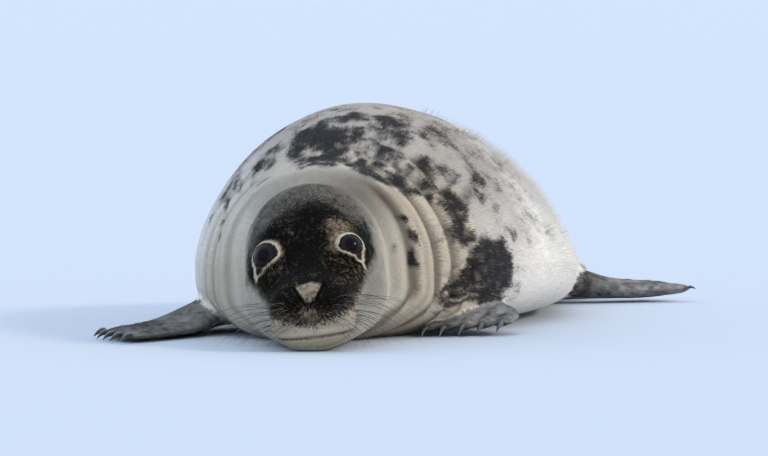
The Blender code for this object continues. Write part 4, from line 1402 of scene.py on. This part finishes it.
def skin_unwrap(mesh):
    """The skin laid flat: the body as one sheet cut along the belly, each limb beside it."""
    corner = np.empty(len(mesh.loops), np.int32)
    mesh.loops.foreach_get("vertex_index", corner)
    starts = np.empty(len(mesh.polygons), np.int32)
    totals = np.empty(len(mesh.polygons), np.int32)
    mesh.polygons.foreach_get("loop_start", starts)
    mesh.polygons.foreach_get("loop_total", totals)
    leader = corner[starts][np.repeat(np.arange(len(starts)), totals)]
    # A face on a join stays whole on the sheet of its first corner.
    corner = np.where(region[corner] == region[leader], corner, leader)
    limb = region[leader]
    turn = angle_there / (2 * math.pi)
    turn = turn - np.floor(turn + 0.5)
    around = turn[corner]
    step = around - turn[leader]
    around = np.where(step > 0.5, around - 1, np.where(step < -0.5, around + 1, around))
    along_body = 0.02 + 0.94 * place[corner, 0] / 1.12
    above = outward_normal[leader, 2] > 0
    is_limb = (limb >= 1) & (limb <= 4)
    u = np.where(is_limb, 0.03 + 0.24 * (limb - 1) + 0.20 * place[corner, 0], along_body)
    v = np.where(is_limb, np.where(above, 0.93, 0.79) + 0.055 * place[corner, 1], 0.36 + 0.56 * around)
    tail = np.where(above, 0.03, 0.69) + 0.6 * np.clip(place_form[corner, 1], -0.03, 0.03)
    return np.stack([u, np.where(limb == 5, tail, v)], -1)


add_attribute(mesh, "OFBake", "FLOAT2", skin_unwrap(mesh), "CORNER")


def coat_tree():
    """Scatters locks over the skin, lays them back, and gives each its own patch of the unwrap."""
    tree = bpy.data.node_groups.new("Seal coat", "GeometryNodeTree")
    add_sockets(tree, "INPUT", (
        ("Skin", "Geometry"), ("Band", "Int"), ("Lock Width", "Float"), ("Lock Thickness", "Float"),
        ("Lift", "Float"), ("Bury", "Float"), ("Seed", "Int"), ("Patch", "Float"),
        ("Material", "Material"),
    ))
    add_sockets(tree, "OUTPUT", (("Coat", "Geometry"),))
    given = node(tree, "NodeGroupInput").outputs

    # Short names for the nodes that come again and again below.
    def read(name, kind):
        made = node(tree, "GeometryNodeInputNamedAttribute", {"Name": name}, data_type=kind)
        return made.outputs["Attribute"]

    def store(geometry, name, value, kind, domain="POINT"):
        made = node(
            tree, "GeometryNodeStoreNamedAttribute",
            {"Geometry": geometry, "Name": name, "Value": value}, data_type=kind, domain=domain,
        )
        return made.outputs[0]

    def maths(operation, a, b):
        return node(tree, "ShaderNodeMath", {0: a, 1: b}, operation=operation).outputs[0]

    def vector(operation, *inputs):
        made = node(tree, "ShaderNodeVectorMath", dict(enumerate(inputs)), operation=operation)
        return made.outputs["Vector"]

    def scaled(value, share):
        made = node(tree, "ShaderNodeVectorMath", {0: value, "Scale": share}, operation="SCALE")
        return made.outputs["Vector"]

    def chance(low, high, offset):
        """A number from low to high for each lock."""
        seed = maths("ADD", given["Seed"], float(offset))
        made = node(tree, "FunctionNodeRandomValue", {2: low, 3: high, 8: seed}, data_type="FLOAT")
        return made.outputs[1]

    # Roots: points scattered over this band of the skin, at the number of locks it should carry.
    in_band = node(
        tree, "FunctionNodeCompare", {2: read("band", "INT"), 3: given["Band"]},
        data_type="INT", operation="EQUAL",
    ).outputs[0]
    amount = maths("MULTIPLY", read("lock_amount", "FLOAT"), in_band)
    scatter = node(
        tree, "GeometryNodeDistributePointsOnFaces",
        {"Mesh": given["Skin"], "Density": amount, "Seed": given["Seed"]},
        distribute_method="RANDOM",
    )
    roots = store(
        scatter.outputs["Points"], "skin_normal", scatter.outputs["Normal"], "FLOAT_VECTOR"
    )
    # The way each lock points: back along the lie, a little aside, and a little off the skin.
    normal = read("skin_normal", "FLOAT_VECTOR")
    back = vector("NORMALIZE", read("lie", "FLOAT_VECTOR"))
    swing = scaled(vector("CROSS_PRODUCT", normal, back), chance(-0.20, 0.20, 11))
    stand = scaled(normal, maths("MULTIPLY", given["Lift"], chance(0.5, 1.6, 12)))
    way = vector("NORMALIZE", vector("ADD", vector("ADD", back, swing), stand))
    turn = node(
        tree, "FunctionNodeAxesToRotation", {0: way, 1: normal},
        primary_axis="Z", secondary_axis="X",
    ).outputs[0]
    length = maths("MULTIPLY", read("lock_length", "FLOAT"), chance(0.75, 1.25, 13))
    width = maths("MULTIPLY", given["Lock Width"], chance(0.7, 1.3, 14))
    size = node(
        tree, "ShaderNodeCombineXYZ",
        {0: maths("MULTIPLY", length, given["Lock Thickness"]),
         1: maths("MULTIPLY", length, width), 2: length},
    ).outputs[0]
    depth = maths("MULTIPLY", maths("MULTIPLY", length, given["Bury"]), -1.0)
    sunk = node(
        tree, "GeometryNodeSetPosition", {"Geometry": roots, "Offset": scaled(normal, depth)}
    )
    # Locks: a three-sided wedge on every root, each point keeping its place in the wedge.
    wedge = node(
        tree, "GeometryNodeMeshCone",
        {"Vertices": 3, "Side Segments": 1, "Fill Segments": 1, "Radius Top": 0.0,
         "Radius Bottom": 0.5, "Depth": 1.0},
    )
    own_place = node(tree, "GeometryNodeInputPosition").outputs[0]
    marked = store(wedge.outputs["Mesh"], "in_lock", own_place, "FLOAT_VECTOR")
    locks = node(
        tree, "GeometryNodeInstanceOnPoints",
        {"Points": sunk.outputs[0], "Instance": marked, "Rotation": turn, "Scale": size},
    )
    real = node(tree, "GeometryNodeRealizeInstances", {"Geometry": locks.outputs[0]})
    inside = node(tree, "ShaderNodeSeparateXYZ", {0: read("in_lock", "FLOAT_VECTOR")})
    shift = node(
        tree, "ShaderNodeCombineXYZ",
        {0: inside.outputs[1], 1: maths("SUBTRACT", inside.outputs[2], 0.5)},
    ).outputs[0]
    patch = vector("ADD", read("OFBake", "FLOAT_VECTOR"), scaled(shift, given["Patch"]))
    mapped = store(real.outputs[0], "OFBake", patch, "FLOAT2", "CORNER")
    # The locks take most of their shading from the skin, as fine hair does.
    own_normal = node(tree, "GeometryNodeInputNormal").outputs[0]
    soft_normal = vector("ADD", scaled(normal, 0.90), scaled(own_normal, 0.10))
    shaded = node(tree, "GeometryNodeSetMeshNormal", mode="FREE", domain="POINT")
    feed(tree, shaded, {"Mesh": mapped, "Custom Normal": vector("NORMALIZE", soft_normal)})
    painted = node(
        tree, "GeometryNodeSetMaterial",
        {"Geometry": shaded.outputs[0], "Material": given["Material"]},
    )
    node(tree, "NodeGroupOutput", {0: painted.outputs[0]})
    return tree


def set_inputs(modifier, **values):
    """Sets a Geometry Nodes modifier's inputs by their sockets' identifiers."""
    for item in modifier.node_group.interface.items_tree:
        key = item.name.replace(" ", "_").lower() if item.item_type == "SOCKET" else None
        if key in values and item.in_out == "INPUT":
            modifier[item.identifier] = values[key]


COAT = coat_tree()
fur = coat_material("coat hair", 0.60, 0.0001)[0]
GUIDES = ("body_map", "body_form", "region", "lie", "lock_amount", "lock_length", "band")


def grown_coat(name, number, ground, lift=LOCK_LIFT, width=LOCK_SHAPE[0], thickness=LOCK_SHAPE[1]):
    """One band of the coat as a plain mesh, with its colours read from where its roots stand."""
    source = bpy.data.objects.new("coat_source", ground)
    scene.collection.objects.link(source)
    growth = source.modifiers.new("growth", "NODES")
    growth.node_group = COAT
    set_inputs(
        growth, band=number, lock_width=width, lock_thickness=thickness,
        lift=lift, bury=LOCK_BURY, seed=number + 1, patch=PATCH, material=fur,
    )
    graph = bpy.context.evaluated_depsgraph_get()
    made = bpy.data.meshes.new_from_object(source.evaluated_get(graph))
    bpy.data.objects.remove(source)
    coat = bpy.data.objects.new("coat_" + name, made)
    scene.collection.objects.link(coat)
    layout = vertex_array(made, "body_map")[::WHOLE_LOCK]
    form = vertex_array(made, "body_form")[::WHOLE_LOCK]
    points = vertex_array(made, "position")[::WHOLE_LOCK]
    part = vertex_array(made, "region", 1)[::WHOLE_LOCK].astype(int)
    random = np.random.default_rng(100 + number).normal(0, 0.6, len(points))
    random = np.clip(random, -1.2, 1.2)
    colour = coat_colour(points, layout, form, part, random, 1)
    for attribute in GUIDES + ("coat_colour", "moist", "skin_normal", "in_lock"):
        made.attributes.remove(made.attributes[attribute])
    add_attribute(made, "coat_colour", "FLOAT_COLOR", np.repeat(colour, WHOLE_LOCK, axis=0))
    everywhere = vertex_array(made)
    everywhere[:, 2] = np.maximum(everywhere[:, 2], HAIR_CLEARANCE)
    made.vertices.foreach_set("co", everywhere.ravel())
    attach(coat, "root")
    return coat


scene = bpy.context.scene
for number, name in enumerate([*(name for name, _, _ in BANDS), *LIMB_BANDS]):
    grown_coat(name, number, mesh)

# Long pale baby hair still clings to the left of the rump, standing well off the short coat.
WISPS = (0.70, 56.0, 0.085, 26.0)  # middle as s and degrees, and how far it spreads in both
WISP_LENGTH = 0.0135
WISP_BAND = len(BANDS) + len(LIMB_BANDS)
wispy = mesh.copy()
turned = np.degrees(np.arctan2(np.sin(angle_there), np.cos(angle_there)))
near = ((place[:, 0] - WISPS[0]) / WISPS[2]) ** 2 + ((turned - WISPS[1]) / WISPS[3]) ** 2
for key, values in (
    ("band", np.full(len(where), WISP_BAND, np.int32)),
    ("lock_amount", 1.6e5 * np.exp(-near) * on_body * (near < 3)),
    ("lock_length", WISP_LENGTH * (1 + 0.4 * rough(where, 40, 91))),
):
    wispy.attributes[key].data.foreach_set("value", values)
grown_coat("wisps", WISP_BAND, wispy, lift=1.0, width=0.022, thickness=0.016)
bpy.data.meshes.remove(wispy)
for guide in GUIDES:
    mesh.attributes.remove(mesh.attributes[guide])


# --- The whiskers ---------------------------------------------------------------------------------
# Stiff, beaded bristles in rows on both pads of the upper lip, and a few over each eye. Each one
# leaves the skin sideways, then droops under its own weight towards a fine point.

WHISKER_ROWS = 6
WHISKER_COLUMNS = 7
WHISKER_RINGS = 22
WHISKER_RADIUS = 0.00032
WHISKER_STOP = 0.004  # how high above the floor the longest ones are cut off
WHISKER_CLEARANCE = 0.0012
BROW_WHISKERS = 3
HEAD_END = 0.16


def surface_point(s, out, up):
    """The skin's nearest point to a place on the head, and the normal there."""
    found = head[find_on_head(placed(s, out, up))[1]]
    return where[found], outward_normal[found]


def whisker(base, heading, length, droop, sweep):
    """One bristle from its base, kept clear of the floor, as (vertices, faces)."""
    t = np.linspace(-0.04, 1, WHISKER_RINGS)[:, None]
    drop = max(droop - heading[2], 0.01)
    length = min(length, (base[2] - WHISKER_STOP) / drop)
    path = base + heading * length * t
    path = path + np.array([0.0, sweep, -droop]) * length * np.clip(t, 0, 1) ** 2
    path[:, 2] = np.maximum(path[:, 2], WHISKER_CLEARANCE)
    t = np.clip(t[:, 0], 0, 1)
    beads = 1 + 0.10 * np.sin(t * length / 0.0022)
    return tube(path, WHISKER_RADIUS * (1 - 0.82 * t) * beads, 5)


head = np.flatnonzero(on_body & (place[:, 0] < HEAD_END))
find_on_head = finder(where[head])
bristles, bristle_faces = [], []
chance = np.random.default_rng(7)


def add_bristle(vertices, faces):
    """Adds a bristle to the one mesh of them all."""
    start = sum(len(v) for v in bristles)
    bristles.append(vertices)
    bristle_faces.extend(tuple(start + i for i in face) for face in faces)


for side in (1, -1):
    for row in range(WHISKER_ROWS):
        for column in range(WHISKER_COLUMNS):
            if row + column < 1 or (row == WHISKER_ROWS - 1 and column < 2):
                continue
            down, back = row / (WHISKER_ROWS - 1), column / (WHISKER_COLUMNS - 1)
            s = 0.007 + 0.027 * back + chance.uniform(-0.001, 0.001)
            out = 0.022 + 0.021 * back - 0.002 * down
            up = 0.052 - 0.026 * down - 0.004 * back + chance.uniform(-0.0008, 0.0008)
            base, normal = surface_point(s, out * side, up)
            heading = np.array([
                side * (0.80 + 0.35 * back), -0.40 * (1 - back) + 0.10 * back, 0.26 - 0.62 * down,
            ]) + 0.55 * normal + chance.normal(0, 0.07, 3)
            heading /= np.linalg.norm(heading)
            length = (0.024 + 0.062 * back**1.3) * (1 - 0.58 * down) * chance.uniform(0.85, 1.12)
            add_bristle(*whisker(base, heading, length, 0.36 + 0.25 * chance.random(), 0.14))
    for k in range(BROW_WHISKERS):
        base, normal = surface_point(0.104 + 0.003 * k, side * (0.030 + 0.0035 * k), 0.124 - 0.001 * k)
        heading = normal + np.array([side * 0.3, 0.1, 0.5 - 0.1 * k])
        heading /= np.linalg.norm(heading)
        add_bristle(*whisker(base, heading, 0.026 + 0.004 * k, 0.30, 0.35))
whiskers = mesh_object("whiskers", np.concatenate(bristles), bristle_faces)
fix_facing(whiskers)
whiskers.data.materials.append(
    plain_material("whisker bristle", (0.030, 0.024, 0.019), 0.32, 0.2, 0.4, 260.0, 0.0001)
)
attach(whiskers, "root")


# --- Floor, light and camera ----------------------------------------------------------------------
# A plain pale floor, a broad soft key lamp on the animal's left and an even pale sky. The camera
# stands low and far in front of the head.

REACH = 400.0
floor = mesh_object(
    "floor", [(-REACH, -REACH, 0), (REACH, -REACH, 0), (REACH, REACH, 0), (-REACH, REACH, 0)],
    [(0, 1, 2, 3)],
)
floor_paint = new_material("pale floor", Base_Color=(0.47, 0.49, 0.52, 1), Roughness=0.9)[0]
floor.data.materials.append(floor_paint)
floor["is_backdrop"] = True
camera_data = bpy.data.cameras.new("camera")
camera_data.sensor_width = 36.0
camera_data.lens = 267.2
camera_data.clip_end = 1000.0
camera = bpy.data.objects.new("camera", camera_data)
camera.location = NOSE_TIP + np.array([0.0775, -5.96, 0.38])
camera.rotation_euler = (math.radians(90 - 2.391), 0, 0)
scene.collection.objects.link(camera)
scene.camera = camera
sun = bpy.data.lights.new("key", "SUN")
sun.energy = 1.48
sun.color = (1.0, 0.85, 0.64)
sun.angle = math.radians(9)
sun_object = bpy.data.objects.new("key", sun)
sun_object.rotation_euler = (math.radians(59), 0, math.radians(72))
scene.collection.objects.link(sun_object)
world = bpy.data.worlds.new("sky")
world.use_nodes = True
sky = world.node_tree.nodes["Background"]
feed(world.node_tree, sky, {"Color": (0.65, 0.79, 1.0, 1), "Strength": 1.6})
scene.world = world
scene.view_settings.view_transform = "Standard"

visual_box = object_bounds()
[[list(map(float, c)) for c in b] for b in (cad_box, visual_box)]
